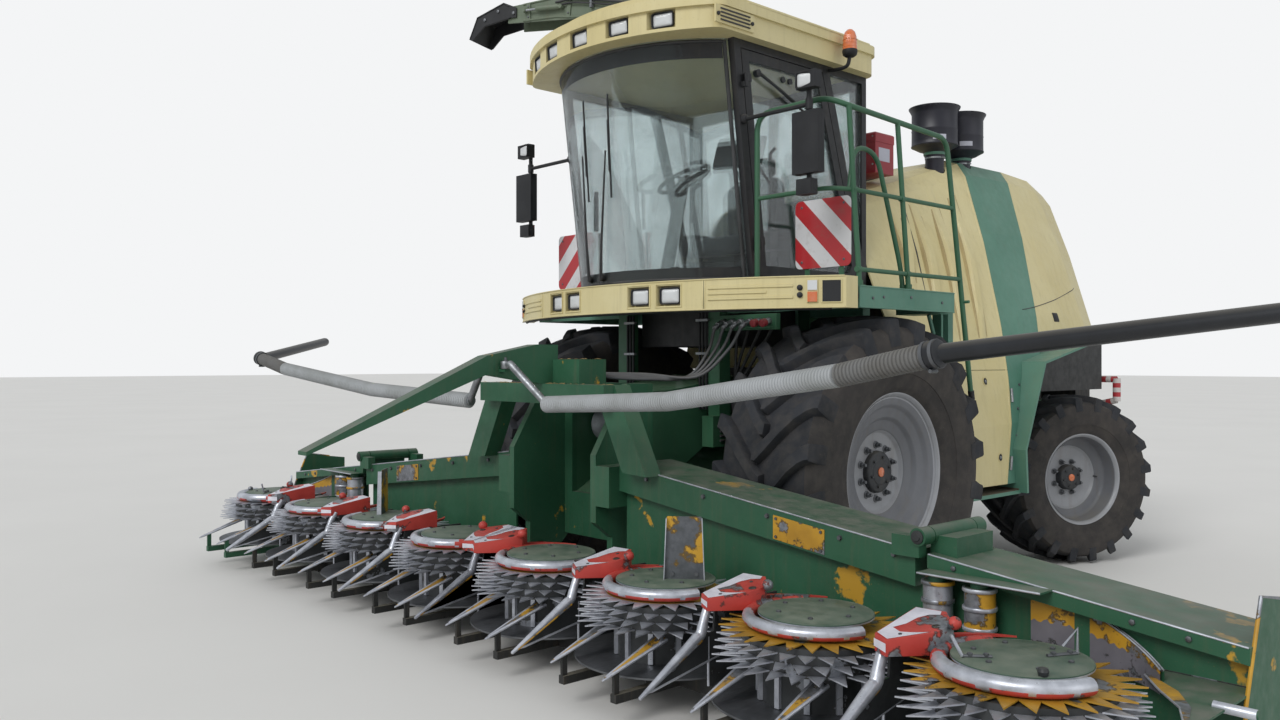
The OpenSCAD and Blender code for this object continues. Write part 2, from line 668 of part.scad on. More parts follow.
// Front edge of the arch over the rear wheels
strut_line = [[1858, 680], [1835, 1000], [2145, 1656], [3140, 1850]];
arch_back_y = strut_line[len(strut_line) - 1][0];
// The rear hood ends on a line over the rear wheels
fender_line = [[1000, 1560], [2000, 1700], [far, 2150], [far, 600], [1000, 600]];

module side_panels() color(cream) intersection() {
    difference() {
        hood_shell();
        translate([-wide, 0, door_line_z]) cube([2 * wide, far, seam]);
        translate([-wide, 0, 0]) cube([2 * wide, 1000, door_line_z + e]);
        translate([-wide, 0, 0]) cube([2 * wide, 780, 1780]);
    }
    side_plate(-wide, wide, cut_front(band_a, slope_a, 0));
}

module hood_band() color(green) difference() {
    intersection() {
        hood_shell();
        side_plate(-wide, wide, cut_back(band_a, slope_a, seam));
        side_plate(-wide, wide, cut_front(band_b, slope_b, 0));
    }
    side_plate(-wide, wide, concat([for (p = strut_line) [p[0] - seat_gap, p[1] + seat_gap]], [[arch_back_y, 600]]));
}

module rear_hood() color(cream) difference() {
    intersection() {
        hood_shell();
        side_plate(-wide, wide, cut_back(band_b, slope_b, seam));
    }
    side_plate(-wide, wide, fender_line);
}

module rear_fenders() color(green) both_sides() {
    side_plate(1000, 1400, concat(strut_line, [[arch_back_y, 1834], [2160, 1640], [1862, 1000], [1885, 680]]));
    // Liner beside the wheel
    side_plate(930, 990, [[1870, 800], [2200, 800], [2270, 1405], [4050, 1405], [4050, 1960], [2110, 1630],
        [1870, 1060]]);
    side_plate(985, 1005, [[1866, 800], [1884, 800], [1884, 980], [1866, 980]]);
    translate([985, 2110, 1600]) cube([20, 40, 40]);
    translate([rail_out_x, 2900, rail_z + 50]) cube([12, 60, 380]);
    translate([rail_out_x, 2900, rail_top_z + 190]) cube([440, 60, 40]);
    // Step plate between the wheels
    translate([1000, 1050, 672]) cube([340, 830, 26]);
}

intake_r = 183;
intake_x = 530;
intake_y = 2010;
intake_pitch = 400;
neck_r = 80;

module air_intakes() color(black) for (i = [0, 1]) translate([intake_x, intake_y + i * intake_pitch, 0]) {
    translate([0, 0, 3100]) cylinder(r = neck_r, h = 250);
    translate([0, 0, 3345]) cylinder(r = intake_r, h = 340);
    translate([0, 0, 3684]) cylinder(r1 = intake_r, r2 = intake_r + 22, h = 30);
}

// The red box and the extinguisher stand on the hood's sloping top
box_y0 = 1060;
box_y1 = 1290;

module tool_box() color(red) {
    side_plate(340, 620, [[box_y0, top_z(box_y0) + seat_gap], [box_y1, top_z(box_y1) + seat_gap], [box_y1, 3370],
        [box_y0, 3370]]);
    side_plate(480, 520, [[700, top_z(700) + seat_gap], [1000, top_z(1000) + seat_gap], [1000, top_z(1000) + 50],
        [700, top_z(700) + 50]]);
    rod([500, 690, top_z(690) + 90], [500, 1030, top_z(1030) + 90], 80);
}

jaw_y = 4400;
jaw_r = 16.5;
guard_x = 1045;

module rear_bumper() color(dark) {
    translate([-700, frame_back_y, 900]) cube([1400, 300, 620]);
    translate([-760, frame_back_y, 1519]) cube([1520, 40, 460]);
    both_sides() {
        rod([690, 4240, 1492], [guard_x, 4240, 1492], 28);
        rod([690, 4240, 1215], [guard_x, 4240, 1300], 28);
        rod([guard_x, 4240, 1290], [guard_x, 4240, 1500], 33);
    }
    // Jaw for a drawbar
    difference() {
        union() {
            translate([-60, jaw_y - 100, 780]) cube([120, 30, 121]);
            for (z = [780, 860]) translate([-60, jaw_y - 100, z]) cube([120, 145, 25]);
        }
        translate([0, jaw_y, 700]) cylinder(r = jaw_r, h = 195);
    }
}

module door() color(black) {
    difference() {
        slab(cab_half_w - wall_t, cab_half_w, door_outline, -move_gap);
        slab(cab_half_w - wall_t - e, cab_half_w + e, door_outline, -70);
    }
    for (z = hinge_zs) at_hinge(z) difference() {
        union() {
            translate([0, 0, 30 + seat_gap]) cylinder(r = hinge_r, h = 50);
            translate([-hinge_off - e, 5, 30 + seat_gap]) cube([hinge_off + e, 45, 50]);
        }
        cylinder(r = hinge_pin_r + fit_gap, h = 100);
    }
}

module door_glass() color([0.5, 0.62, 0.66, 0.4])
    slab(cab_half_w - 18 - glass_t, cab_half_w - 18, door_outline, -70 - seat_gap);

// Spout: a turning ring with two ears, a long arm on a pin and an end flap.
// In the arm's plane X points outward along the arm and Z up, both from the ring
lift_pin_z = 450;
arm_half_w = 145;
ear_t = 25;
ear_gap = 5;
flap_at = [3080, 1780];
flap_pin_r = 10;

module at_turret() translate([0, turret_y, turret_z]) rotate([0, 0, 180 + spout_turn]) children();

module both_sides_y() {
    children();
    mirror([0, 1, 0]) children();
}

// An outline in the arm's plane, as thick as from y0 to y1
module arm_plate(y0, y1, outline) {
    translate([0, y1, 0]) rotate([90, 0, 0]) linear_extrude(height = y1 - y0) polygon(outline);
}

// A pin across the arm
module cross_pin(x, z, r, y0, y1) {
    translate([x, y0, z]) rotate([-90, 0, 0]) cylinder(r = r, h = y1 - y0);
}

module spout_turret() color(green) at_turret() {
    translate([0, 0, seat_gap]) cylinder(r = turret_r, h = 50);
    translate([-150, -150, 50]) cube([300, 300, 260]);
    both_sides_y() difference() {
        arm_plate(arm_half_w + ear_gap, arm_half_w + ear_gap + ear_t, [[-80, 49], [80, 49], [60, 520], [-60, 520]]);
        cross_pin(0, lift_pin_z, 30 + fit_gap, 100, 300);
    }
}

arm_low = [[-110, 370], [120, 370], [500, 850], [1300, 1330], [2400, 1640], [3150, 1700]];
arm_top = [[3150, 1850], [2350, 1880], [1150, 1600], [300, 1100], [-130, 480]];
skin = 14;

module spout_arm() color(green) at_turret() {
    // A chute, open below
    difference() {
        arm_plate(-arm_half_w, arm_half_w, concat(arm_low, arm_top));
        arm_plate(skin - arm_half_w, arm_half_w - skin, concat([for (p = arm_low) [p[0] + 40, p[1] - 80]],
            [for (i = [0 : len(arm_top) - 1]) [arm_top[i][0] + (i == 0 ? 40 : 10), arm_top[i][1] - skin]]));
    }
    reach = arm_half_w + ear_gap + ear_t;
    cross_pin(0, lift_pin_z, 30, -reach, reach);
    cross_pin(flap_at[0], flap_at[1], flap_pin_r, -arm_half_w - 20, arm_half_w + 20);
}

module spout_flap() color(black) at_turret() {
    both_sides_y() difference() {
        arm_plate(arm_half_w + 6, arm_half_w + 16, [[3050, 1740], [3110, 1740], [3400, 1700], [3540, 1580],
            [3580, 1600], [3490, 1800], [3190, 1895], [3050, 1830]]);
        cross_pin(flap_at[0], flap_at[1], flap_pin_r + fit_gap, 100, 300);
    }
    arm_plate(-arm_half_w - 10, arm_half_w + 10, [[3190, 1882], [3483, 1790], [3570, 1595], [3580, 1600],
        [3490, 1800], [3190, 1895]]);
}

// Intake house: a channel that swings up with the header about the pins in the cheeks
house_half_w = 330;
house_t = 20;
house_front_y = -1040;
coupling_y = house_front_y;

module intake_house() color(green) difference() {
    union() {
        side_plate(-house_half_w, house_half_w, [[house_front_y, 760], [-300, 1190], [100, 1230], [100, 1480],
            [-100, 1560], [house_front_y, 1440]]);
        both_sides() drum_x(house_half_w - e, chop_half_w - cheek_t - seat_gap, 75, lift_y, lift_z);
    }
    side_plate(-house_half_w + house_t, house_half_w - house_t, [[house_front_y - e, 785], [-310, 1210],
        [101, 1250], [101, 1460], [-100, 1535], [house_front_y - e, 1415]]);
    both_sides() drum_x(house_half_w - house_t - e, chop_half_w, lift_pin_r + fit_gap, lift_y, lift_z);
}

roller_y = -820;
roller_z = 1230;

module feed_roller() color(silver) {
    inner = house_half_w - house_t - seat_gap;
    drum_x(-inner, inner, 40, roller_y, roller_z);
    drum_x(-inner + 20, inner - 20, 110, roller_y, roller_z);
}

// Header frame: throat, coupling frame, gearbox, divider boom and the sloping beams
beam_y0 = -1420;
beam_y1 = -1000;
beam_x0 = 560;
beam_top = 1052;
beam_drop = 0.12;
beam_deep = 160;
wall_y = -1360;

function beam_z(x) = beam_top - (x - 600) * beam_drop;

barrel_r = 40;
// The wing hinge's barrels on the centre frame and on the wing, in Y
centre_barrels = [[-1465, -1385], [-1026, -946]];
wing_barrel = [-1379, -1032];
bar_pivot = [90, -1900];
bar_eye_z = 1612;
bar_pin_r = 12;

// The wall under a beam, from x0 to x1
module back_wall(x0, x1) translate([0, wall_y + 15, 0]) rotate([90, 0, 0]) linear_extrude(height = 15)
    polygon([[x0, 190], [x1, 190], [x1, beam_z(x1) - beam_deep + 5], [x0, beam_z(x0) - beam_deep + 5]]);

module fold_drum(y0, y1, r) translate([fold_x, y0, fold_z]) rotate([-90, 0, 0]) cylinder(r = r, h = y1 - y0);

module header_frame() color(header_green) {
    // Sloping beams out to the wing hinge
    both_sides() {
        translate([0, beam_y1, 0]) rotate([90, 0, 0]) linear_extrude(height = beam_y1 - beam_y0)
            polygon([[beam_x0, beam_z(beam_x0) - beam_deep], [fold_x - 40, beam_z(fold_x - 40) - beam_deep],
                [fold_x - 40, beam_z(fold_x - 40)], [beam_x0, beam_z(beam_x0)]]);
        fold_drum(centre_barrels[0][0], centre_barrels[1][1], fold_pin_r);
        for (b = centre_barrels) {
            fold_drum(b[0], b[1], barrel_r);
            translate([fold_x - 140, b[0] + 10, beam_z(fold_x) - 20])
                cube([140, b[1] - b[0] - 20, fold_z - beam_z(fold_x) + 20]);
        }
        // Rear wall under the beams
        back_wall(beam_x0, fold_x - 40);
        // Throat sides, and what ties them to the beams
        side_plate(house_half_w + 60, house_half_w + 110, [[coupling_y, 500], [coupling_y, 1520], [-1250, 1520],
            [-1500, 1100], [-1500, 700], [-1370, 600], [-1370, 190]]);
        translate([house_half_w + 100, -1500, 800]) cube([beam_x0 - house_half_w - 99, 200, 240]);
        translate([0, -1400, 0]) rotate([90, 0, 0]) linear_extrude(height = 120)
            polygon([[500, 1400], [630, 1520], [900, 1010], [700, 1020]]);
        // Ear and pin that carry the crop bar
        translate([49, bar_pivot[1] - 18, bar_eye_z - 17]) cube([bar_pivot[0] - 31, 36, 17]);
        translate([bar_pivot[0], bar_pivot[1], bar_eye_z - 1]) cylinder(r = bar_pin_r, h = 48);
    }
    // Coupling frame against the mouth of the intake house
    difference() {
        translate([-house_half_w - 110, coupling_y - 40, 500]) cube([2 * house_half_w + 220, 40, 1020]);
        translate([-house_half_w + house_t, coupling_y - 41, 785]) cube([2 * (house_half_w - house_t), 42, 630]);
    }
    translate([-630, -1600, 1400]) cube([1260, 120, 120]);
    // Gearbox behind the lintel
    translate([-250, -1520, 1519]) cube([560, 210, 150]);
    // Divider boom
    side_plate(-50, 50, [[-1480, 1519], [-1480, 1760], [-1640, 1760], [-2000, 1690], [-nose_len, 1190],
        [-nose_len, 1170], [-2000, 1580], [-1600, 1519]]);
}

floor_z = 110;
floor_t = 70;
shaft_r = 40;

// An arm from under a rotor back to the rear wall
module floor_arm() {
    translate([-90, rotor_y + 100, floor_z]) cube([180, -1345 - rotor_y - 100, floor_t]);
    translate([-90, wall_y - 60, floor_z]) cube([180, 75, floor_t + 10]);
}

module header_floor() color(dark) {
    translate([-2630, rotor_y - 110, floor_z]) cube([5260, 220, floor_t]);
    for (i = [-2.5 : 1 : 2.5]) translate([i * rotor_pitch, 0, 0]) {
        floor_arm();
        translate([0, rotor_y, floor_z + floor_t - e]) cylinder(r = shaft_r, h = 200);
        small_points();
    }
    for (x = [-2.5 : 1 : 2.5]) translate([x * rotor_pitch - 40, rotor_y - 100, 60]) cube([80, 500, 51]);
}

// Two small points ahead of each rotor: a blade that rises over the discs, then a thin rod
blade_tip = [-2410, 227];
blade_tail = [-2060, 347];
blade_len = norm(blade_tail - blade_tip);

module small_points() for (s = [-1, 1]) translate([s * 190, 0, 0]) {
    translate([-20, -2360, floor_z]) cube([40, 2360 + rotor_y - 90, 40]);
    translate([-8, -2360, floor_z]) cube([16, 30, 142]);
    translate([0, blade_tip[0], blade_tip[1]])
        rotate([atan2(blade_tail[1] - blade_tip[1], blade_tail[0] - blade_tip[0]), 0, 0])
        linear_extrude(height = 8) polygon([[-3, 0], [3, 0], [37, blade_len], [-37, blade_len]]);
    rod([0, blade_tail[0] - 40, blade_tail[1] - 8], [0, -2045, 347], 9);
}

teeth = 26;

// A thin disc with pointed teeth, its underside at z
module toothed_disc(z, root, tip) translate([0, 0, z]) linear_extrude(height = 6)
    polygon([for (i = [0 : 2 * teeth - 1]) let (a = i * 180 / teeth)
        (i % 2 == 0 ? tip : root) * [cos(a), sin(a)]]);

module rotor(plate = false) color([0.75, 0.6, 0.2]) {
    difference() {
        union() {
            translate([0, 0, floor_z + floor_t + move_gap]) cylinder(r = 170, h = 20);
            translate([0, 0, 200]) cylinder(r = rotor_r, h = 12, $fn = 96);
            translate([0, 0, 205]) cylinder(r = 245, h = 178);
            translate([0, 0, 380]) cylinder(r = 330, h = 120, $fn = 96);
            toothed_disc(388, 320, rotor_r - 5);
            toothed_disc(428, 320, rotor_r - 15);
            toothed_disc(468, 320, rotor_r - 25);
            toothed_disc(510, 300, rotor_r - 35);
            translate([0, 0, 490]) cylinder(r = 200, h = 80);
            translate([0, 0, 566]) cylinder(r = cover_r, h = 14, $fn = 96);
        }
        translate([0, 0, floor_z + floor_t]) cylinder(r = shaft_r + fit_gap, h = 205);
    }
    if (plate) guard_plate();
}

// A folded plate on a rotor's cover, narrower at its top
module guard_plate() translate([104, 27, 578]) rotate([90, 0, 42]) {
    translate([0, 0, -4]) linear_extrude(height = 4) polygon([[-102, 0], [102, 0], [90, 314], [-90, 314]]);
    for (s = [-1, 1]) translate([0, 0, -30]) linear_extrude(height = 30)
        polygon([[s * 102, 0], [s * 98, 0], [s * 86, 314], [s * 90, 314]]);
}

function rotor_x(i) = (i - 4.5) * rotor_pitch;
module at_rotor(i) translate([rotor_x(i), rotor_y, 0]) children();

// A divider's parts in Y and Z: where its cone starts, and its tip
cone_back = [-2080, 430];
cone_tip = [-2450, 218];
cone_len = norm(cone_tip - cone_back);
head_z = 545;
head_h = 55;
head_plan = [[-15, -2060], [-30, -1760], [100, -1750], [190, -1850], [170, -1950], [60, -2100]];
keel_plan = [[-2400, 235], [-1880, 330], [-1900, 420], [-2070, 430]];
tube_ring_r = 290;
tube_r = 27;
tube_z = 552;

// A divider whose head reaches towards +X, with the guard tube round the rotor beside it
module divider() {
    keel_back = wall_y - seat_gap;
    translate([-5, -2030, floor_z + floor_t]) cube([10, keel_back + 2030, 250]);
    translate([-5, -1990, floor_z + floor_t + 249]) cube([10, 430, head_z - floor_z - floor_t - 239]);
    side_plate(-4, 4, keel_plan);
    difference() {
        translate([0, 0, head_z]) linear_extrude(height = head_h) polygon(head_plan);
        translate([150, -1900, head_z - e]) cylinder(r = 12, h = head_h + 2 * e);
    }
    rod([0, -2030, head_z + 20], [0, cone_back[0], cone_back[1]], 20);
    translate([0, cone_back[0], cone_back[1]]) {
        sphere(r = 24 * bend_swell);
        rotate([90 - atan2(cone_tip[1] - cone_back[1], -(cone_tip[0] - cone_back[0])), 0, 0])
            cylinder(r1 = 24, r2 = 8, h = cone_len);
    }
    translate([rotor_pitch / 2, rotor_y, tube_z]) rotate([0, 0, 140]) rotate_extrude(angle = 206, $fn = 96)
        polygon([for (a = [0 : 36 : 324]) [tube_ring_r + tube_r * cos(a), tube_r * sin(a)]]);
}

module header_dividers() color(red) both_sides()
    for (i = [0, 1, 2]) translate([i * rotor_pitch, 0, 0]) divider();

// The transport drums behind the wing's divider
drum_places = [2692, 2890];
drum_y = -1450;
wall_ring_r = 500;

// A folding wing: its beam, walls, floor, one rotor's shaft and the end plate
module wing() color(header_green) {
    x0 = fold_x + 20;
    x1 = header_half_w;
    shelf_x1 = fold_x + 590;
    shelf_z = 738;
    hub_x = 3.5 * rotor_pitch;
    translate([0, beam_y1, 0]) rotate([90, 0, 0]) linear_extrude(height = beam_y1 - wall_y)
        polygon([[x0, beam_z(x0) - beam_deep], [x1, beam_z(x1) - beam_deep], [x1, beam_z(x1)], [x0, beam_z(x0)]]);
    translate([0, wall_y + e, 0]) rotate([90, 0, 0]) linear_extrude(height = wall_y - beam_y0 + e)
        polygon([[x0, beam_z(x0) - 62], [x1, beam_z(x1) - 62], [x1, beam_z(x1)], [x0, beam_z(x0)]]);
    difference() {
        union() {
            fold_drum(wing_barrel[0], wing_barrel[1], barrel_r);
            translate([fold_x, wing_barrel[0] + 20, beam_z(x0) - 40])
                cube([130, wing_barrel[1] - wing_barrel[0] - 40, fold_z - beam_z(x0) + 40]);
        }
        fold_drum(wing_barrel[0] - e, wing_barrel[1] + e, fold_pin_r + fit_gap);
    }
    back_wall(x0 + 40, x1);
    // Shelf over the transport drums
    translate([x0 + 10, drum_y - 70, shelf_z]) cube([shelf_x1 - x0 - 10, beam_y0 - drum_y + 80, 8]);
    for (x = drum_places) translate([x, drum_y, 450]) {
        cylinder(r = 62, h = 260);
        for (z = [0, 84, 168, 246]) translate([0, 0, z]) cylinder(r = 70, h = 14);
        cylinder(r = 40, h = shelf_z - 449);
    }
    // Curved wall round the rotor, its top edge falling outward
    intersection() {
        translate([hub_x, rotor_y, 450]) difference() {
            cylinder(r = wall_ring_r + 8, h = 320, $fn = 96);
            translate([0, 0, -e]) cylinder(r = wall_ring_r, h = 322, $fn = 96);
        }
        translate([0, wall_y + 30, 0]) rotate([90, 0, 0]) linear_extrude(height = 185)
            polygon([[hub_x - 199, 440], [hub_x + 362, 440], [hub_x + 362, 535], [hub_x - 100, 721],
                [hub_x - 199, 724]]);
    }
    // Plate outside it, up to the end plate
    translate([0, 0, 492]) linear_extrude(height = 8) polygon([[hub_x + 280, -1458], [hub_x + 392, -1611],
        [hub_x + 509, -1750], [x1 - 46, -1893], [x1, -1893], [x1, beam_y1 - e], [hub_x + 280, beam_y1 - e]]);
    side_plate(x1 - 5, x1 + 7, [[-1470, 110], [-1470, 455], [-1310, 820], [-1097, 780], [-950, 760], [-950, 110]]);
    drum_x(x1 - 20, bar_reach, 17, -1650, 500);
    translate([fold_x + 160, rotor_y - 110, floor_z]) cube([hub_x + 215 - fold_x - 160, 220, floor_t]);
    translate([hub_x, 0, 0]) {
        floor_arm();
        translate([0, rotor_y, floor_z + floor_t - e]) cylinder(r = shaft_r, h = 200);
        small_points();
    }
    translate([3 * rotor_pitch, 0, 0]) divider();
    translate([3 * rotor_pitch - 5, wall_y - 60, 200]) cube([10, 65, 220]);
}

// The crop bar's route: silver arm, ribbed sleeve, black tube
bar_points = [[140, -1900, 1640], [400, -1830, 1410], [1500, -1930, 1460], [2630, -2070, 1600],
    [3060, -2080, 1680], [bar_reach - bar_r * bend_swell, -1110, 1840]];

module crop_bar() color(silver) {
    difference() {
        union() {
            translate([bar_pivot[0], bar_pivot[1], bar_eye_z + seat_gap]) cylinder(r = 28, h = 44);
            rod(bar_points[0], bar_points[1], 22);
            translate([bar_pivot[0], bar_pivot[1] - 15, bar_eye_z + seat_gap]) cube([62, 30, 44]);
        }
        translate([bar_pivot[0], bar_pivot[1], bar_eye_z - 5]) cylinder(r = bar_pin_r + fit_gap, h = 60);
    }
    swept_tube([for (i = [1 : 4]) bar_points[i]], sleeve_r);
    translate(bar_points[4] - [30, 0, 4]) rotate([0, 82, 0]) cylinder(r = sleeve_r + 8, h = 60, $fn = swept_sides);
    swept_tube([bar_points[4], bar_points[5]], bar_r);
}

at_axle() frame();
at_axle() front_axle();
at_axle() rear_axle();
at_axle() engine();
at_axle() chopper_housing();
at_axle() cab_floor();
at_axle() cab_frame();
at_axle() cab_glass();
at_axle() cab_roof();
at_axle() seat();
at_axle() steering_column();
at_axle() light_bar();
at_axle() lamps();
at_axle() platforms();
at_axle() handrails();
at_axle() warning_plates();
at_axle() mirrors();
at_axle() beacon();
at_axle() side_panels();
at_axle() hood_band();
at_axle() rear_hood();
at_axle() rear_fenders();
at_axle() air_intakes();
at_axle() tool_box();
at_axle() rear_bumper();
at_axle() door();
at_axle() door_glass();
at_axle() at_front_wheel() front_tyre();  // tyre_front_left
at_axle() mirror([1, 0, 0]) at_front_wheel() front_tyre();  // tyre_front_right
at_axle() at_rear_wheel(-rest_steer) rear_tyre();  // tyre_rear_left
at_axle() mirror([1, 0, 0]) at_rear_wheel(rest_steer) rear_tyre();  // tyre_rear_right
at_axle() at_front_wheel() front_rim();  // rim_front_left
at_axle() mirror([1, 0, 0]) at_front_wheel() front_rim();  // rim_front_right
at_axle() at_rear_wheel(-rest_steer) rear_rim();  // rim_rear_left
at_axle() mirror([1, 0, 0]) at_rear_wheel(rest_steer) rear_rim();  // rim_rear_right
at_axle() at_swivel(-rest_steer) knuckle();  // knuckle_left
at_axle() mirror([1, 0, 0]) at_swivel(rest_steer) knuckle();  // knuckle_right
at_axle() spout_turret();
at_axle() spout_arm();
at_axle() spout_flap();
at_axle() intake_house();
at_axle() feed_roller();
at_axle() header_frame();
at_axle() header_floor();
at_axle() header_dividers();
at_axle() wing();  // wing_left
at_axle() mirror([1, 0, 0]) wing();  // wing_right
at_axle() crop_bar();  // crop_bar_left
at_axle() mirror([1, 0, 0]) crop_bar();  // crop_bar_right
at_axle() at_rotor(1) rotor();  // rotor_1
at_axle() at_rotor(2) rotor();  // rotor_2
at_axle() at_rotor(3) mirror([1, 0, 0]) rotor(true);  // rotor_3
at_axle() at_rotor(4) rotor();  // rotor_4
at_axle() at_rotor(5) rotor();  // rotor_5
at_axle() at_rotor(6) rotor(true);  // rotor_6
at_axle() at_rotor(7) rotor();  // rotor_7
at_axle() at_rotor(8) rotor();  // rotor_8
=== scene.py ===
import bpy
import math
import random
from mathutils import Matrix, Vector


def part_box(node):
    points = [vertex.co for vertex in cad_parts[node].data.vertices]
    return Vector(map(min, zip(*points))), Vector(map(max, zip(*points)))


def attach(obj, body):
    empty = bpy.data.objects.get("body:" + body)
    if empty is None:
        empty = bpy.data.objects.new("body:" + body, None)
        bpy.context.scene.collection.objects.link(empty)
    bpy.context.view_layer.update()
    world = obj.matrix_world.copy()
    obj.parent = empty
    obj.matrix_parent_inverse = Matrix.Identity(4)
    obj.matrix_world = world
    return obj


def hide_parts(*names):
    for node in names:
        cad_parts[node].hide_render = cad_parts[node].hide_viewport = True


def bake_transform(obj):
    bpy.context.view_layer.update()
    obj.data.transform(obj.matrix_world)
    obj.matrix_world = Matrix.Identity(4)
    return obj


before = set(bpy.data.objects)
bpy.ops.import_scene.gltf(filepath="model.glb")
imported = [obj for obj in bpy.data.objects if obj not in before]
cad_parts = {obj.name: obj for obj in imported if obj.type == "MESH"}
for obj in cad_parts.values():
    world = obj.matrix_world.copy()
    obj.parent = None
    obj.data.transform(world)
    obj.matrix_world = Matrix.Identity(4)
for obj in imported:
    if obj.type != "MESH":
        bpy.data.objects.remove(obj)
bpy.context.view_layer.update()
print("stage: frame loaded")


def middle(node):
    low, high = (Vector(corner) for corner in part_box(node))
    return (low + high) / 2


axleY = middle("tyre_front_left").y  # the frame's origin lies behind the front axle


def at(x, y, z):
    return Vector((x, y + axleY, z))  # y is counted from the front axle


upward, forward, rearward, leftward = (0, 0, 1), (0, -1, 0), (0, 1, 0), (1, 0, 0)

# Nodes and colours

def toLinear(hexColour):
    parts = [int(hexColour[i:i + 2], 16) / 255 for i in (1, 3, 5)]
    return [c / 12.92 if c <= 0.04045 else ((c + 0.055) / 1.055) ** 2.4 for c in parts] + [1]


def addNode(material, kind, sockets=None, **settings):
    node = material.node_tree.nodes.new(kind)
    for name, value in settings.items():
        setattr(node, name, value)
    for name, value in (sockets or {}).items():
        socket = node.inputs[name]
        if isinstance(value, bpy.types.NodeSocket):
            material.node_tree.links.new(value, socket)
        else:
            socket.default_value = value
    return node


def calculate(material, operation, *values):
    return addNode(material, "ShaderNodeMath", dict(enumerate(values)), operation=operation).outputs[0]


def multiply(material, first, second):
    return calculate(material, "MULTIPLY", first, second)


def between(material, mask, low, high):
    # A mask's 0 and 1 become low and high
    return addNode(material, "ShaderNodeMapRange", {"Value": mask, "To Min": low, "To Max": high}).outputs[0]


def startMaterial(name):
    material = bpy.data.materials.new(name)
    material.use_nodes = True
    material.node_tree.nodes.clear()
    return material


def finishMaterial(material, shader):
    addNode(material, "ShaderNodeOutputMaterial", {"Surface": shader.outputs[0]})
    return material


def addSurface(material, colour, rough, sockets=None):
    return addNode(material, "ShaderNodeBsdfPrincipled",
                   {"Base Color": colour, "Roughness": rough, **(sockets or {})})


def place(material, stretch=(1, 1, 1), shift=(0, 0, 0)):
    where = addNode(material, "ShaderNodeTexCoord")
    return addNode(material, "ShaderNodeMapping", {"Vector": where.outputs["Object"], "Scale": stretch,
                                                   "Location": shift}).outputs[0]


def patches(material, sizeMm, start, end, where=None, detail=4.0):
    # A mask with soft or hard patches of a real size
    cloud = addNode(material, "ShaderNodeTexNoise", {"Vector": where or place(material),
                                                     "Scale": 1000 / sizeMm, "Detail": detail,
                                                     "Roughness": 0.6})
    return addNode(material, "ShaderNodeMapRange", {"Value": cloud.outputs[0], "From Min": start,
                                                    "From Max": end}).outputs[0]


def blendColour(material, mask, under, over):
    mix = addNode(material, "ShaderNodeMix", {0: mask}, data_type="RGBA")
    for index, colour in ((6, under), (7, over)):
        if isinstance(colour, bpy.types.NodeSocket):
            material.node_tree.links.new(colour, mix.inputs[index])
        else:
            mix.inputs[index].default_value = toLinear(colour)
    return mix.outputs[2]


def facingUp(material, start, end):
    normal = addNode(material, "ShaderNodeNewGeometry").outputs["Normal"]
    parts = addNode(material, "ShaderNodeSeparateXYZ", {0: normal})
    return addNode(material, "ShaderNodeMapRange", {"Value": parts.outputs[2], "From Min": start,
                                                    "From Max": end}).outputs[0]


def inZone(material, low, high):
    # 1 inside a box of the machine, mirrored to both sides
    parts = addNode(material, "ShaderNodeSeparateXYZ", {0: place(material)})
    side = calculate(material, "ABSOLUTE", parts.outputs[0])
    mask = None
    for value, start, end in zip((side, parts.outputs[1], parts.outputs[2]), at(*low), at(*high)):
        for limit, test in ((start, "GREATER_THAN"), (end, "LESS_THAN")):
            inside = calculate(material, test, value, limit)
            mask = inside if mask is None else multiply(material, mask, inside)
    return mask


def bumped(material, sizeMm, depthMm, strength=0.4, where=None):
    cloud = addNode(material, "ShaderNodeTexNoise", {"Vector": where or place(material),
                                                     "Scale": 1000 / sizeMm, "Detail": 3.0})
    return addNode(material, "ShaderNodeBump", {"Height": cloud.outputs[0], "Strength": strength,
                                                "Distance": depthMm / 1000}).outputs[0]


# Materials, each from what the real one is

dustColour = "#8c8574"
soilColour = "#6b5d48"


def sprayedEnamel(name, fresh, bleached, streaks, specks, dust, rough, zones=(), dustTint=dustColour,
                  under=None, underMm=420, underFrom=0.64):
    # Enamel sprayed on sheet steel: an even soft shine that dust, rain streaks and chips have dulled
    material = startMaterial(name)
    colour = blendColour(material, patches(material, 700, 0.35, 0.75), fresh, bleached)
    runs = patches(material, 45, 0.52, 0.8, place(material, (1, 1, 0.07)))
    colour = blendColour(material, multiply(material, runs, streaks), colour, soilColour)
    spots = patches(material, 9, 0.63, 0.7)
    colour = blendColour(material, multiply(material, spots, specks), colour, soilColour)
    if under:
        worn = patches(material, underMm, underFrom, underFrom + 0.02, detail=6.0)
        colour = blendColour(material, worn, colour, under)
    for zone in zones:
        colour = blendColour(material, inZone(material, zone["low"], zone["high"]), colour, zone["colour"])
    top = multiply(material, facingUp(material, 0.3, 0.95), patches(material, 120, 0.2, 0.7))
    colour = blendColour(material, multiply(material, top, dust), colour, dustTint)
    dulled = between(material, patches(material, 60, 0.3, 0.8), rough, min(1, rough + 0.25))
    return finishMaterial(material, addSurface(material, colour, dulled, {
        "IOR": 1.5, "Coat Weight": 0.05, "Normal": bumped(material, 3, 0.15, 0.15)}))


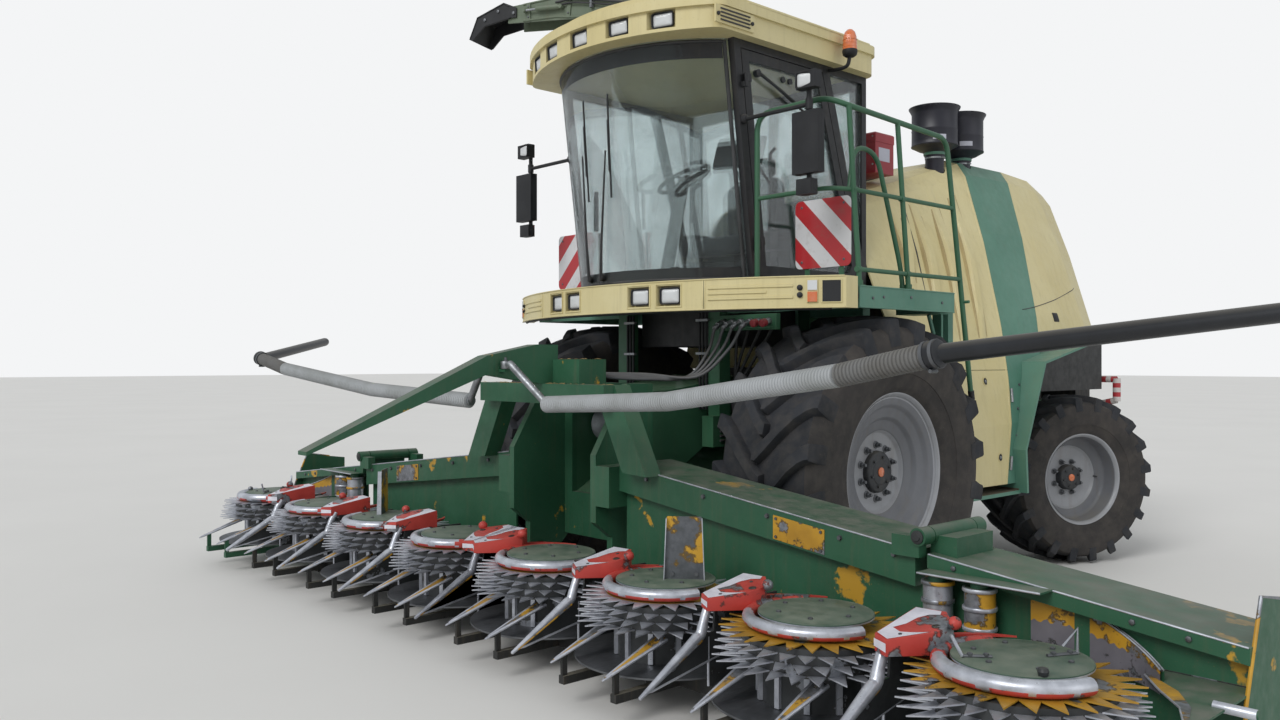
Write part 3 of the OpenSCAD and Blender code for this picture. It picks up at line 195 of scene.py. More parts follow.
def wornSteel(name, fresh, shade, bareFrom, dust, sizeMm=180, bareColour="#9a9da3"):
    # Painted steel that crop has rubbed down to bright metal in patches with dark edges
    material = startMaterial(name)
    where = place(material)
    bare = patches(material, sizeMm, bareFrom, bareFrom + 0.015, where, 6.0)
    rim = patches(material, sizeMm, bareFrom - 0.03, bareFrom - 0.01, where, 6.0)
    steel = blendColour(material, patches(material, 35, 0.35, 0.7), bareColour, "#6f7277")
    colour = blendColour(material, patches(material, 260, 0.35, 0.7), fresh, shade)
    colour = blendColour(material, bare, blendColour(material, multiply(material, rim, 0.8), colour,
                                                     "#2a2925"), steel)
    top = multiply(material, facingUp(material, 0.5, 1.0), patches(material, 70, 0.3, 0.7))
    colour = blendColour(material, multiply(material, top, dust), colour, "#5f5a4c")
    metal = multiply(material, bare, 0.7)
    rough = between(material, patches(material, 25, 0.3, 0.7), 0.34, 0.6)
    return finishMaterial(material, addSurface(material, colour, rough, {
        "Metallic": metal, "Normal": bumped(material, 12, 0.4, 0.3)}))


def polishedSteel(name, bright, rough, smear="#77797c", metallic=0.9):
    # Mild steel that crop keeps bright: fine scratches along it and grey smears
    material = startMaterial(name)
    scratches = place(material, (1, 0.2, 1))
    colour = blendColour(material, patches(material, 90, 0.35, 0.75), bright, smear)
    dulled = between(material, patches(material, 14, 0.3, 0.8, scratches), rough, rough + 0.25)
    return finishMaterial(material, addSurface(material, colour, dulled, {
        "Metallic": metallic, "Normal": bumped(material, 2, 0.1, 0.2, scratches)}))


def tyreRubber(name, clean, worn, dusty):
    # Vulcanised natural rubber, moulded: nearly black, matt, with brown field dust in its hollows
    material = startMaterial(name)
    colour = blendColour(material, patches(material, 240, 0.35, 0.75), clean, worn)
    dust = patches(material, 90, 0.42, 0.8)
    colour = blendColour(material, multiply(material, dust, dusty), colour, "#5a544d")
    colour = blendColour(material, multiply(material, patches(material, 8, 0.66, 0.72), dusty), colour,
                         "#7a6f60")
    return finishMaterial(material, addSurface(material, colour, 0.82, {
        "IOR": 1.52, "Specular IOR Level": 0.35, "Normal": bumped(material, 6, 0.6, 0.35)}))


def mouldedPlastic(name, clean, worn, rough=0.6):
    # Injection moulded polypropylene or ABS: a fine leathery grain, greyed by dust
    material = startMaterial(name)
    colour = blendColour(material, patches(material, 200, 0.4, 0.8), clean, worn)
    top = multiply(material, facingUp(material, 0.4, 1.0), 0.45)
    colour = blendColour(material, top, colour, "#6d675c")
    return finishMaterial(material, addSurface(material, colour, rough, {
        "IOR": 1.49, "Normal": bumped(material, 2, 0.1, 0.25)}))


def tintedGlass(name):
    # Float glass with a blue-green tint: clear, shining, with a film of dust low down
    material = startMaterial(name)
    glass = addSurface(material, toLinear("#c3d8d9"), 0.03,
                       {"IOR": 1.5, "Transmission Weight": 1.0, "Alpha": 0.5})
    film = addSurface(material, blendColour(material, patches(material, 300, 0.3, 0.8), "#6f8288", "#8b9490"),
                      0.6)
    amount = multiply(material, patches(material, 420, 0.4, 0.9), 0.15)
    return finishMaterial(material, addNode(material, "ShaderNodeMixShader", {
        0: amount, 1: glass.outputs[0], 2: film.outputs[0]}))


def ribbedBump(material, height, strength):
    return addNode(material, "ShaderNodeBump", {"Height": height, "Strength": strength,
                                                "Distance": 0.002}).outputs[0]


def waves(material, scale, direction):
    return addNode(material, "ShaderNodeTexWave", {"Vector": place(material), "Scale": scale},
                   bands_direction=direction).outputs[1]


def lensPlastic(name, clear):
    # Clear or coloured polycarbonate lens over a bright reflector, with fine ribs moulded in
    material = startMaterial(name)
    bump = ribbedBump(material, waves(material, 60.0, "X"), 0.4)
    colour = blendColour(material, multiply(material, patches(material, 40, 0.3, 0.7), 0.2), clear, "#b9bcbc")
    return finishMaterial(material, addSurface(material, colour, 0.12, {
        "IOR": 1.58, "Coat Weight": 0.6, "Normal": bump}))


def wovenCloth(name, dark):
    # Woven polyester seat cloth: threads about 1.5 mm apart, drawn at 6 mm so that they show
    material = startMaterial(name)
    warp = waves(material, 26.0, "X")
    weave = multiply(material, warp, waves(material, 26.0, "Z"))
    bump = ribbedBump(material, weave, 0.5)
    colour = blendColour(material, weave, dark, "#4a4d52")
    return finishMaterial(material, addSurface(material, colour, 0.92, {"Sheen Weight": 0.3, "Normal": bump}))


def driedChaff(name):
    # Dried leaf and chaff: matt straw colour
    material = startMaterial(name)
    colour = blendColour(material, patches(material, 40, 0.35, 0.7), "#b79d68", "#86744f")
    return finishMaterial(material, addSurface(material, colour, 0.9,
                                               {"Normal": bumped(material, 4, 0.3, 0.3)}))


# The pitch is that of a red and a white band together, along the plate's edge
stripeLook = {"pitchM": 0.283, "start": 0.38, "red": "#b3262c", "white": "#d5d4d6"}


def reflectiveStripes(name):
    # Reflective sheet in the usual slanting red and white bands, 100 mm wide
    material = startMaterial(name)
    where = addNode(material, "ShaderNodeTexCoord").outputs["Object"]
    parts = addNode(material, "ShaderNodeSeparateXYZ", {0: where})
    slant = calculate(material, "ADD", calculate(material, "ABSOLUTE", parts.outputs[0]), parts.outputs[2])
    turns = multiply(material, slant, 1 / stripeLook["pitchM"])
    share = calculate(material, "FRACT", calculate(material, "ADD", turns, stripeLook["start"]))
    band = calculate(material, "GREATER_THAN", share, 0.5)
    colour = blendColour(material, band, stripeLook["red"], stripeLook["white"])
    colour = blendColour(material, multiply(material, patches(material, 50, 0.55, 0.75), 0.25), colour,
                         soilColour)
    return finishMaterial(material, addSurface(material, colour, 0.38, {
        "Coat Weight": 0.3, "Normal": bumped(material, 2, 0.1, 0.15)}))


archLiner = {"low": (0.9, 2.2, 0.6), "high": (1.0, 4.2, 2.2), "colour": "#1b1c1c"}
stepTop = {"low": (0.98, 1.0, 0.6955), "high": (1.335, 1.9, 0.71), "colour": "#5d5245"}
makers = [
    # Fresh and bleached colour; shares of streaks, specks and dust; roughness
    (sprayedEnamel, {
        "creamEnamel": ("#cdbf8b", "#d8cd9f", 0.16, 0.25, 0.35, 0.42),
        "bodyGreenEnamel": ("#4c7a68", "#5f8b79", 0.16, 0.2, 0.35, 0.45, (archLiner, stepTop)),
        "railGreenEnamel": ("#2f5a40", "#3c6a4e", 0.1, 0.15, 0.25, 0.4),
        "cropGreenEnamel": ("#225238", "#2f6146", 0.25, 0.35, 1.0, 0.45, (), "#686c60", "#b98f2c"),
        "spoutEnamel": ("#5d6a58", "#717c68", 0.3, 0.3, 0.5, 0.55),
        "chassisEnamel": ("#1d1e1d", "#2b2b29", 0.3, 0.35, 0.75, 0.6),
        "cabEnamel": ("#191a1c", "#242528", 0.1, 0.15, 0.3, 0.42),
        "rimEnamel": ("#9fa1a6", "#8b8c8f", 0.3, 0.3, 0.3, 0.4),
        # A darker copy of the rim grey: painted shade for the rim's well
        "rimShade": ("#74767b", "#5f6064", 0.3, 0.3, 0.5, 0.5),
        "redEnamel": ("#8c2730", "#a23a40", 0.12, 0.15, 0.4, 0.35),
        "dustyLid": ("#2d4a39", "#41594a", 0.1, 0.35, 0.9, 0.5, (), "#737a6c"),
        "hubEnamel": ("#26282b", "#3a3c3f", 0.2, 0.3, 0.3, 0.5)}),
    # Fresh colour and its shade; where bare steel starts; share of dust
    (wornSteel, {
        "wornYellow": ("#c9992b", "#a87c22", 0.52, 0.5),
        "wornRed": ("#c0453c", "#a8352f", 0.58, 0.15),
        "toothYellow": ("#b88c2a", "#8c6a20", 0.6, 0.1),
        "wornDark": ("#2a2c2d", "#3c3e3f", 0.6, 0.5),
        "wornGrey": ("#77747a", "#5f5d63", 0.6, 0.3),
        "wornPlate": ("#c9992b", "#b3871f", 0.47, 0.1, 260, "#5d6063")}),
    # Colour, roughness, smear and how metallic
    (polishedSteel, {
        "brightSteel": ("#cdd0d8", 0.26, "#9a9da5", 0.6),
        "rubbedSteel": ("#e2e0e8", 0.36, "#c3c2cb", 0.15),
        "zincSteel": ("#a4a7aa", 0.38),
        "darkBolt": ("#6a6c6f", 0.45),
        "mirrorGlass": ("#9aa4aa", 0.08)}),
    # Clean and worn colour, share of dust
    (tyreRubber, {"tyreRubber": ("#24262a", "#34363b", 0.35), "sidewallRubber": ("#302e2d", "#3f3b39", 0.4)}),
    # Clean and worn colour, roughness
    (mouldedPlastic, {
        "blackPlastic": ("#17181b", "#26272a"),
        "hoseRubber": ("#2a2b2b", "#47474a", 0.55),
        "sleevePlastic": ("#a9acae", "#8f9290", 0.5),
        "stainedPlastic": ("#6f6f6e", "#58544d", 0.55),
        "tubePlastic": ("#17191d", "#22252a", 0.35),
        "intakePlastic": ("#1c1c26", "#282833", 0.42),
        "paleLabel": ("#b9bac6", "#a5a6b0", 0.45),
        "greyHose": ("#56585b", "#4b4947", 0.5),
        # Darker cream strips in the hood's flute folds: soil and painted shade
        "foldShade": ("#a69469", "#b8a678", 0.6),
        "whitePaint": ("#cfc9c6", "#b5aea6", 0.5),
        "redPaint": ("#b1353b", "#9a3d3c", 0.5)}),
    (lensPlastic, {"clearLens": ("#d8dadb",), "amberLens": ("#d9660e",), "orangeLens": ("#b86a22",),
                   "redLens": ("#b8231c",)}),
    (tintedGlass, {"tintedGlass": ()}),
    (wovenCloth, {"seatCloth": ("#25282c",)}),
    (driedChaff, {"dryLeaf": ()}),
    (reflectiveStripes, {"warningSheet": ()}),
]
paint = {}
for maker, looks in makers:
    for name, look in looks.items():
        paint[name] = maker(name, *look)
print("stage: materials made")

nodeFinish = {
    "creamEnamel": ["cab_roof", "light_bar", "side_panels", "rear_hood"],
    "bodyGreenEnamel": ["platforms", "hood_band", "rear_fenders", "spout_turret"],
    "railGreenEnamel": ["handrails", "intake_house", "front_axle", "rear_axle", "frame"],
    "cropGreenEnamel": ["header_frame", "wing_left", "wing_right"],
    "spoutEnamel": ["spout_arm"],
    "chassisEnamel": ["engine", "chopper_housing", "header_floor", "knuckle_left", "knuckle_right",
                      "rear_bumper"],
    "cabEnamel": ["cab_floor", "cab_frame", "door", "steering_column"],
    "blackPlastic": ["mirrors", "air_intakes", "spout_flap"],
    "tintedGlass": ["cab_glass", "door_glass"],
    "clearLens": ["lamps"],
    "amberLens": ["beacon"],
    "seatCloth": ["seat"],
    "warningSheet": ["warning_plates"],
    "redEnamel": ["tool_box"],
    "tyreRubber": ["tyre_front_left", "tyre_front_right", "tyre_rear_left", "tyre_rear_right"],
    "rimEnamel": ["rim_front_left", "rim_front_right", "rim_rear_left", "rim_rear_right"],
    "brightSteel": ["feed_roller"],
    "zincSteel": ["crop_bar_left", "crop_bar_right"],
    "wornRed": ["header_dividers"],
    "wornYellow": ["rotor_%d" % i for i in range(1, 9)],
}
softEdge = {"widthM": 0.004, "segments": 2, "sharperThan": 30}


def softenEdges(body, widthM):
    edge = body.modifiers.new("softEdge", "BEVEL")
    edge.width = widthM
    edge.segments = softEdge["segments"]
    edge.limit_method = "ANGLE"
    edge.angle_limit = math.radians(softEdge["sharperThan"])


for finish, nodes in nodeFinish.items():
    for node in nodes:
        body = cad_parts[node]
        body.data.materials.clear()
        body.data.materials.append(paint[finish])
        if not node.startswith(("tyre", "rim")):
            softenEdges(body, softEdge["widthM"])
print("stage: carried-over nodes finished")

# Meshes

def newShape():
    return {"points": [], "faces": [], "finish": []}


def addMesh(shape, points, faces, finish=0):
    start = len(shape["points"])
    shape["points"] += [Vector(p) for p in points]
    shape["faces"] += [[start + i for i in face] for face in faces]
    shape["finish"] += [finish] * len(faces)


def addBox(shape, low, high, finish=0):
    corners = [(x, y, z) for x in (low[0], high[0]) for y in (low[1], high[1]) for z in (low[2], high[2])]
    addMesh(shape, corners, [(0, 1, 3, 2), (4, 6, 7, 5), (0, 4, 5, 1), (2, 3, 7, 6), (0, 2, 6, 4),
                             (1, 5, 7, 3)], finish)


def addLoft(shape, rings, finish=0, capped=True):
    # Rings of equally many points, joined one to the next
    count = len(rings[0])
    last = (len(rings) - 1) * count
    faces = [(a + i, a + (i + 1) % count, a + count + (i + 1) % count, a + count + i)
             for a in range(0, last, count) for i in range(count)]
    if capped:
        faces += [tuple(range(count))[::-1], tuple(last + i for i in range(count))]
    addMesh(shape, [p for ring in rings for p in ring], faces, finish)


def handed(rings, s):
    # Rings made for the left, each run the other way for the right
    return rings if s > 0 else [ring[::-1] for ring in rings]


def around(count, first=0.0):
    return [first + 2 * math.pi * k / count for k in range(count)]


def polar(radius, angle, z=0.0):
    return Vector((radius * math.cos(angle), radius * math.sin(angle), z))


def addPlate(shape, outline, origin, across, up, thick, finish=0):
    # A flat plate: its outline in the directions across and up, thickness along their cross product
    across, up = Vector(across), Vector(up)
    out = across.cross(up).normalized() * thick
    ring = [Vector(origin) + across * u + up * v for u, v in outline]
    addLoft(shape, [ring, [p + out for p in ring]], finish)


def addTurned(shape, profile, centre, axis, finish=0, steps=48, capped=True):
    # A profile of (along, radius) turned about an axis through centre
    axis = Vector(axis).normalized()
    side = axis.orthogonal().normalized()
    other = axis.cross(side)
    rings = [[Vector(centre) + axis * along + side * radius * math.cos(a) + other * radius * math.sin(a)
              for a in around(steps)] for along, radius in profile]
    addLoft(shape, rings, finish, capped)


def addTube(shape, points, radius, finish=0, sides=12, capped=True):
    # A round tube; its radius may be one number or one for each point
    points = [Vector(p) for p in points]
    radii = radius if isinstance(radius, (list, tuple)) else [radius] * len(points)
    rings, side = [], None
    for i, point in enumerate(points):
        ahead = (points[min(i + 1, len(points) - 1)] - points[max(i - 1, 0)]).normalized()
        side = ahead.orthogonal() if side is None else side - ahead * side.dot(ahead)
        side.normalize()
        other = ahead.cross(side)
        rings.append([point + (side * math.cos(a) + other * math.sin(a)) * radii[i] for a in around(sides)])
    addLoft(shape, rings, finish, capped)


def smoothRoute(points, perStretch=8):
    # A soft curve through the points
    points = [Vector(p) for p in points]
    ends = [points[0] * 2 - points[1]] + points + [points[-1] * 2 - points[-2]]
    route = []
    for i in range(1, len(ends) - 2):
        a, b, c, d = ends[i - 1:i + 3]
        for k in range(perStretch):
            t = k / perStretch
            route.append(0.5 * ((2 * b) + (c - a) * t + (2 * a - 5 * b + 4 * c - d) * t ** 2
                                + (3 * b - a - 3 * c + d) * t ** 3))
    return route + [points[-1]]


def makePiece(name, shape, finishes, body, replaces=(), bevel=0.0, sharp=32, mirrored=False):
    points = [Vector((-p.x, p.y, p.z)) for p in shape["points"]] if mirrored else shape["points"]
    faces = [face[::-1] for face in shape["faces"]] if mirrored else shape["faces"]
    mesh = bpy.data.meshes.new(name)
    mesh.from_pydata([tuple(p) for p in points], [], faces)
    for finish in finishes:
        mesh.materials.append(paint[finish])
    for face, finish in zip(mesh.polygons, shape["finish"]):
        face.material_index = finish
        face.use_smooth = True
    mesh.validate()
    mesh.set_sharp_from_angle(angle=math.radians(sharp))
    piece = bpy.data.objects.new(name, mesh)
    bpy.context.scene.collection.objects.link(piece)
    if bevel:
        softenEdges(piece, bevel)
    if body:
        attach(piece, body)
    if replaces:
        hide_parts(*replaces)
    return piece


# Wheels

tyreLook = {
    "front": {"lugs": 20, "lugHigh": 0.056, "lugWide": 0.092, "sweep": 0.36, "rim": 0.503},
    "rear": {"lugs": 20, "lugHigh": 0.042, "lugWide": 0.062, "sweep": 0.36, "rim": 0.375},
}
wheelLook = {
    "front": {"rimWidth": 0.6, "inset": 0.15, "hub": 0.13, "hubOut": 0.036, "studs": 10, "circle": 0.335,
              "dish": [(0.0, 0.245), (0.034, 0.262), (0.044, 0.325), (0.074, 0.342), (0.084, 0.402),
                       (0.112, 0.42), (0.12, 0.47)]},
    "rear": {"rimWidth": 0.46, "inset": 0.20, "hub": 0.104, "hubOut": 0.06, "studs": 8, "circle": 0.27,
             "dish": [(0.0, 0.25), (0.03, 0.268), (0.042, 0.32), (0.062, 0.345)]},
}
restSteer = {"front": 0, "rear": 24}  # degrees that the wheels stand turned


def tyreShape(look, radius, width):
    shape = newShape()
    half = width / 2
    rim, high = look["rim"], radius - look["rim"]
    tread = radius - look["lugHigh"]
    side = [(0.80, rim - 0.015), (0.85, rim + 0.012), (0.885, rim + 0.03), (0.89, rim + 0.045),
            (0.945, rim + 0.22 * high), (0.95, rim + 0.235 * high), (0.962, rim + 0.24 * high),
            (0.995, rim + 0.45 * high), (0.985, rim + 0.62 * high), (0.95, rim + 0.76 * high),
            (0.84, tread - 0.016), (0.5, tread - 0.003), (0.0, tread)]
    profile = [(-half * x, r) for x, r in side] + [(half * x, r) for x, r in side[-2::-1]]
    addTurned(shape, profile, (0, 0, 0), leftward, 0, 96, capped=False)
    rows = len(profile) - 1
    treadRows = range(len(side) - 3, rows - len(side) + 3)
    shape["finish"] = [1 if i // 96 not in treadRows else 0 for i in range(len(shape["faces"]))]
    step = 2 * math.pi / look["lugs"]
    # Share of the half width, share of the sweep
    stations = [(0.0, 0.0), (0.06, 0.02), (0.22, 0.2), (0.45, 0.5), (0.66, 0.76), (0.83, 0.92), (0.93, 0.985),
                (0.985, 1.0)]
    for mirror in (-1, 1):
        for k in range(look["lugs"]):
            start = (k + (0.5 if mirror > 0 else 0)) * step
            loft = []
            for share, turn in stations + [(1.0, 1.0)]:
                last = share == 1.0
                x = mirror * (-0.03 + share * (half * 0.99 + 0.03))
                angle = start + look["sweep"] * turn
                foot = tread - 0.01 - 0.09 * share ** 5
                worn = (0.5 if last else 0.22) * look["lugHigh"] * share ** 6 * 2
                crown = radius - 0.004 * share ** 2 - worn
                if last:
                    foot, crown = rim + 0.6 * high, radius - 0.115
                wide = look["lugWide"] * (0.8 if share == 0 else 1.0 + 0.12 * share)
                ring = []
                for r, w in ((foot, -wide * 0.64), (crown - 0.012, -wide * 0.5), (crown, -wide * 0.42),
                             (crown, wide * 0.42), (crown - 0.012, wide * 0.5), (foot, wide * 0.64)):
                    a = angle + w / radius
                    ring.append(Vector((x, -r * math.cos(a), r * math.sin(a))))
                loft.append(ring if mirror > 0 else ring[::-1])
            addLoft(shape, loft, 0)
    return shape


def softCorners(profile, cut):
    # Each inner corner of a profile becomes two points, so that it turns rounded
    soft = [profile[0]]
    for i in range(1, len(profile) - 1):
        here = Vector(profile[i])
        for other in (profile[i - 1], profile[i + 1]):
            away = Vector(other) - here
            soft.append(tuple(here + away * min(0.45, cut / max(away.length, 1e-6))))
    return soft + [profile[-1]]


def rimShape(rim, wheel):
    # Outward is +X; the outer flange's face lies at half of the rim's width
    shape = newShape()
    out, hub = wheel["rimWidth"] / 2, wheel["hub"]
    deep = out - wheel["inset"]
    dish = [(deep + rise, min(r, rim - 0.035)) for rise, r in wheel["dish"]]
    face = [(deep, hub + 0.002)] + dish + [(out - 0.03, rim - 0.034), (out - 0.016, rim - 0.022),
                                           (out - 0.004, rim - 0.014), (out, rim - 0.004), (out - 0.004, rim),
                                           (out - 0.014, rim - 0.001), (out - 0.018, rim - 0.012)]
    start = len(shape["faces"])
    addTurned(shape, softCorners(face, 0.007), (0, 0, 0), leftward, 0, 96, False)
    for n in range(start, len(shape["faces"])):
        # The well between the disc and the outer flange gets a darker, dustier grey: painted shade, with dirt
        spot = shape["points"][shape["faces"][n][0]]
        if deep + 0.02 < spot.x < out - 0.035 and math.hypot(spot.y, spot.z) > wheel["dish"][0][1]:
            shape["finish"][n] = 4
    back = [(deep - 0.016, 0.072), (deep - 0.016, 0.2), (deep - 0.02, wheel["dish"][0][1])]
    back += [(deep + rise - 0.016, min(r, rim - 0.04)) for rise, r in wheel["dish"][1:]]
    addTurned(shape, back[::-1], (0, 0, 0), leftward, 0, 96, False)
    barrel = [(-out, rim), (-out, rim - 0.012), (-out + 0.012, rim - 0.02), (-out + 0.08, rim - 0.034),
              (out - 0.08, rim - 0.034), (out - 0.02, rim - 0.03)]
    addTurned(shape, barrel, (0, 0, 0), leftward, 0, 96, False)
    top = deep + wheel["hubOut"]
    cap = [(deep - 0.01, hub), (top - 0.012, hub), (top, hub - 0.01), (top, 0.62 * hub),
           (top + 0.004, 0.6 * hub), (top + 0.004, 0.3 * hub), (top + 0.002, 0.001)]
    addTurned(shape, softCorners(cap, 0.004), (0, 0, 0), leftward, 1, 48, False)
    addTurned(shape, [(top, 0.03), (top + 0.009, 0.029), (top + 0.012, 0.024), (top + 0.013, 0.001)],
              (0, 0, 0), leftward, 2, 24, False)
    for k in range(6):
        a = math.pi / 3 * (k + 0.25)
        addTurned(shape, [(top - 0.002, 0.009), (top + 0.011, 0.009)],
                  (0, 0.72 * hub * math.cos(a), 0.72 * hub * math.sin(a)), leftward, 1, 6)
    for k in range(wheel["studs"]):
        a = 2 * math.pi * (k + 0.5) / wheel["studs"]
        y, z = wheel["circle"] / 2 * math.cos(a), wheel["circle"] / 2 * math.sin(a)
        addTurned(shape, [(deep - 0.002, 0.024), (deep + 0.005, 0.024), (deep + 0.007, 0.02)], (0, y, z),
                  leftward, 3, 16)
        addTurned(shape, [(deep, 0.017), (deep + 0.024, 0.017), (deep + 0.027, 0.014)], (0, y, z), leftward,
                  3, 6)
        addTurned(shape, [(deep, 0.0105), (deep + 0.042, 0.0105), (deep + 0.044, 0.008)], (0, y, z), leftward,
                  3, 10)
    # Valve in the dish
    addTurned(shape, [(deep + 0.02, 0.006), (deep + 0.06, 0.006), (deep + 0.062, 0.004)], (0, 0.7 * rim, 0),
              leftward, 1, 8)
    return shape


def moved(shape, offset):
    return dict(shape, points=[p + Vector(offset) for p in shape["points"]])


def turned(shape, degrees):
    c, s = math.cos(math.radians(degrees)), math.sin(math.radians(degrees))
    return dict(shape, points=[Vector((p.x * c - p.y * s, p.x * s + p.y * c, p.z)) for p in shape["points"]])


frontSize = [b - a for a, b in zip(*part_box("tyre_front_left"))]
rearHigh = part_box("tyre_rear_left")[1][2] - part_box("tyre_rear_left")[0][2]
tyreSize = {"front": (frontSize[2] / 2, frontSize[0]), "rear": (rearHigh / 2, 0.54)}

for axle in ("front", "rear"):
    tyre = tyreShape(tyreLook[axle], *tyreSize[axle])
    rim = rimShape(tyreLook[axle]["rim"], wheelLook[axle])
    for side in ("left", "right"):
        names = ("tyre_%s_%s" % (axle, side), "rim_%s_%s" % (axle, side))
        centre = middle(names[0])
        mirrored = side == "right"
        turn = restSteer[axle] * (1 if mirrored else -1)
        spot = (abs(centre.x), centre.y, centre.z)
        bodyName = "wheel_%s_%s" % (axle, side)
        makePiece("%sTyre%s" % (axle, side.title()), moved(turned(tyre, turn), spot),
                  ["tyreRubber", "sidewallRubber"], bodyName, names[:1], sharp=38, mirrored=mirrored)
        makePiece("%sRim%s" % (axle, side.title()), moved(turned(rim, turn), spot),
                  ["rimEnamel", "hubEnamel", "amberLens", "darkBolt", "rimShade"], bodyName,
                  names[1:], sharp=40, mirrored=mirrored)
print("stage: wheels made")

# Header

rotorLook = {
    "pitch": 0.9375, "y": -1.85, "teeth": 26, "toothShare": 0.58,
    "coverRadius": 0.25, "coverTop": 0.584, "boltCircle": 0.17,
    "discs": [(0.388, 0.32, 0.449), (0.428, 0.32, 0.439), (0.468, 0.32, 0.429), (0.510, 0.30, 0.419)],
}


def rotorCentre(i):
    return at((i - 4.5) * rotorLook["pitch"], rotorLook["y"], 0)


def addToothed(shape, centre, z, root, tip, thick, inner, steel, plate, phase):
    # A disc whose teeth are bright and whose plate is painted; the teeth lean a little backward
    count = rotorLook["teeth"]
    step = 2 * math.pi / count
    ring = []
    for a in around(count, phase):
        ring += [(root, a), (tip, a + rotorLook["toothShare"] * step)]
    points = []
    for level in (z, z + thick):
        points += [centre + polar(r, a, level) for r, a in ring]
        points += [centre + polar(inner, a, level) for a in around(count, phase)]
    size = 3 * count
    teeth, plates = [], []
    for k in range(count):
        a, t, b = 2 * k, 2 * k + 1, (2 * k + 2) % (2 * count)
        i, j = 2 * count + k, 2 * count + (k + 1) % count
        teeth += [(a, b, t), (size + a, size + t, size + b), (a, t, size + t, size + a),
                  (t, b, size + b, size + t)]
        plates += [(i, j, b, a), (size + i, size + a, size + b, size + j)]
    addMesh(shape, points, teeth, steel)
    addMesh(shape, points, plates, plate)


def rotorShape(i):
    shape = newShape()
    centre = rotorCentre(i)
    # Drive housing, cutting disc with its rubbed rim, and the two drums
    addTurned(shape, [(0.187, 0.15), (0.187, 0.17), (0.2, 0.17)], centre, upward, 3, 48)
    addTurned(shape, [(0.2005, 0.15), (0.2, 0.44), (0.2015, 0.4545), (0.2105, 0.4545), (0.212, 0.44),
                      (0.2125, 0.15)], centre, upward, 4, 96)
    addTurned(shape, [(0.212, 0.245), (0.36, 0.245), (0.372, 0.25), (0.38, 0.27), (0.381, 0.15)], centre,
              upward, 3, 64)
    addTurned(shape, [(0.38, 0.15), (0.381, 0.329), (0.499, 0.329), (0.5, 0.32), (0.502, 0.2)], centre,
              upward, 3, 64)
    for a in around(12):
        # Scraper bars up the lower drum
        across = polar(1, a)
        foot = centre + across * 0.243
        side = Vector((-across.y, across.x, 0)) * 0.012
        ring = [foot - side, foot + side, foot + side + across * 0.018, foot - side + across * 0.018]
        addLoft(shape, [[p + Vector((0, 0, z)) for p in ring] for z in (0.216, 0.372)], 1)
    for n, (z, root, tip) in enumerate(rotorLook["discs"]):
        addToothed(shape, centre, z, root, tip, 0.006, 0.19 if z > 0.5 else 0.3,
                   2 if z > 0.5 and i > 6 else 1, 2, 0.06 * n + 0.2 * i)
    # Cover: a pressed lid with a rolled edge over its neck
    radius, top = rotorLook["coverRadius"], rotorLook["coverTop"]
    addTurned(shape, [(0.5, 0.2), (0.565, 0.2)], centre, upward, 3, 48)
    addTurned(shape, [(0.5665, 0.19), (0.566, radius - 0.002), (0.568, radius), (0.574, radius)], centre,
              upward, 1, 96)
    addTurned(shape, [(0.574, radius), (top - 0.006, radius - 0.001), (top - 0.003, radius - 0.006),
                      (top - 0.003, radius - 0.03), (top, radius - 0.036), (top, 0.06), (top + 0.001, 0.001)],
              centre, upward, 0, 96, False)
    for a in around(6, 0.3 * i):
        addTurned(shape, [(top - 0.001, 0.011), (top + 0.006, 0.011), (top + 0.008, 0.008)],
                  centre + polar(rotorLook["boltCircle"], a), upward, 4, 6)
    if i in (1, 8):
        # Two bent rod brackets on foot strips, and a knob at the edge
        s = 1 if i == 8 else -1
        for foot, end, tip, back in (((-0.057, -0.105), (-0.136, -0.174), (-0.163, -0.204, 0.664), None),
                                     ((0.071, 0.055), (0.128, 0.172), (0.128, 0.172, 0.678),
                                      (0.09, 0.14, 0.61))):
            a = centre + Vector((s * foot[0], foot[1], top + 0.003))
            b = centre + Vector((s * end[0], end[1], top + 0.003))
            addTube(shape, [a, b], 0.0075, 4, 8)
            route = [b, centre + Vector((s * tip[0], tip[1], tip[2]))]
            if back:
                route.append(centre + Vector((s * back[0], back[1], back[2])))
            addTube(shape, route, 0.0065, 1, 8)
            for share in (0.2, 0.75):
                addTurned(shape, [(0, 0.011), (0.008, 0.011), (0.01, 0.007)],
                          a.lerp(b, share) + Vector((0, 0, 0.004)), upward, 4, 6)
        addTurned(shape, [(top - 0.004, 0.016), (top + 0.012, 0.02), (top + 0.024, 0.016),
                          (top + 0.028, 0.004)], centre + Vector((s * 0.165, -0.165, 0)), upward, 3, 16)
    if i in (3, 6):
        # Folded plate, paint left on its middle
        s = 1 if i == 6 else -1
        turn = math.radians(42)
        across = Vector((s * math.cos(turn), math.sin(turn), 0))
        out = Vector((s * math.sin(turn), -math.cos(turn), 0))
        foot = centre + Vector((s * 0.104, 0.027, 0.579))
        outline = [(-0.102, 0), (0.102, 0), (0.0985, 0.09), (0.09, 0.3), (0.083, 0.313), (-0.083, 0.313),
                   (-0.09, 0.3)]
        ring = [foot + across * u + Vector((0, 0, v)) for u, v in outline]
        addLoft(shape, [ring, [p + out * 0.0045 for p in ring]], 5)
        for e in (-1, 1):
            edge = [foot + across * e * 0.102, foot + across * e * 0.09 + Vector((0, 0, 0.305))]
            ring = [edge[0], edge[0] + out * 0.031, edge[1] + out * 0.026, edge[1]]
            addLoft(shape, [ring, [p - across * e * 0.0045 for p in ring]], 1)
        for e in (-1, 1):
            addTurned(shape, [(0, 0.011), (0.009, 0.011)],
                      foot + across * e * 0.06 + out * 0.004 + Vector((0, 0, 0.03)), out, 4, 6)
    return shape


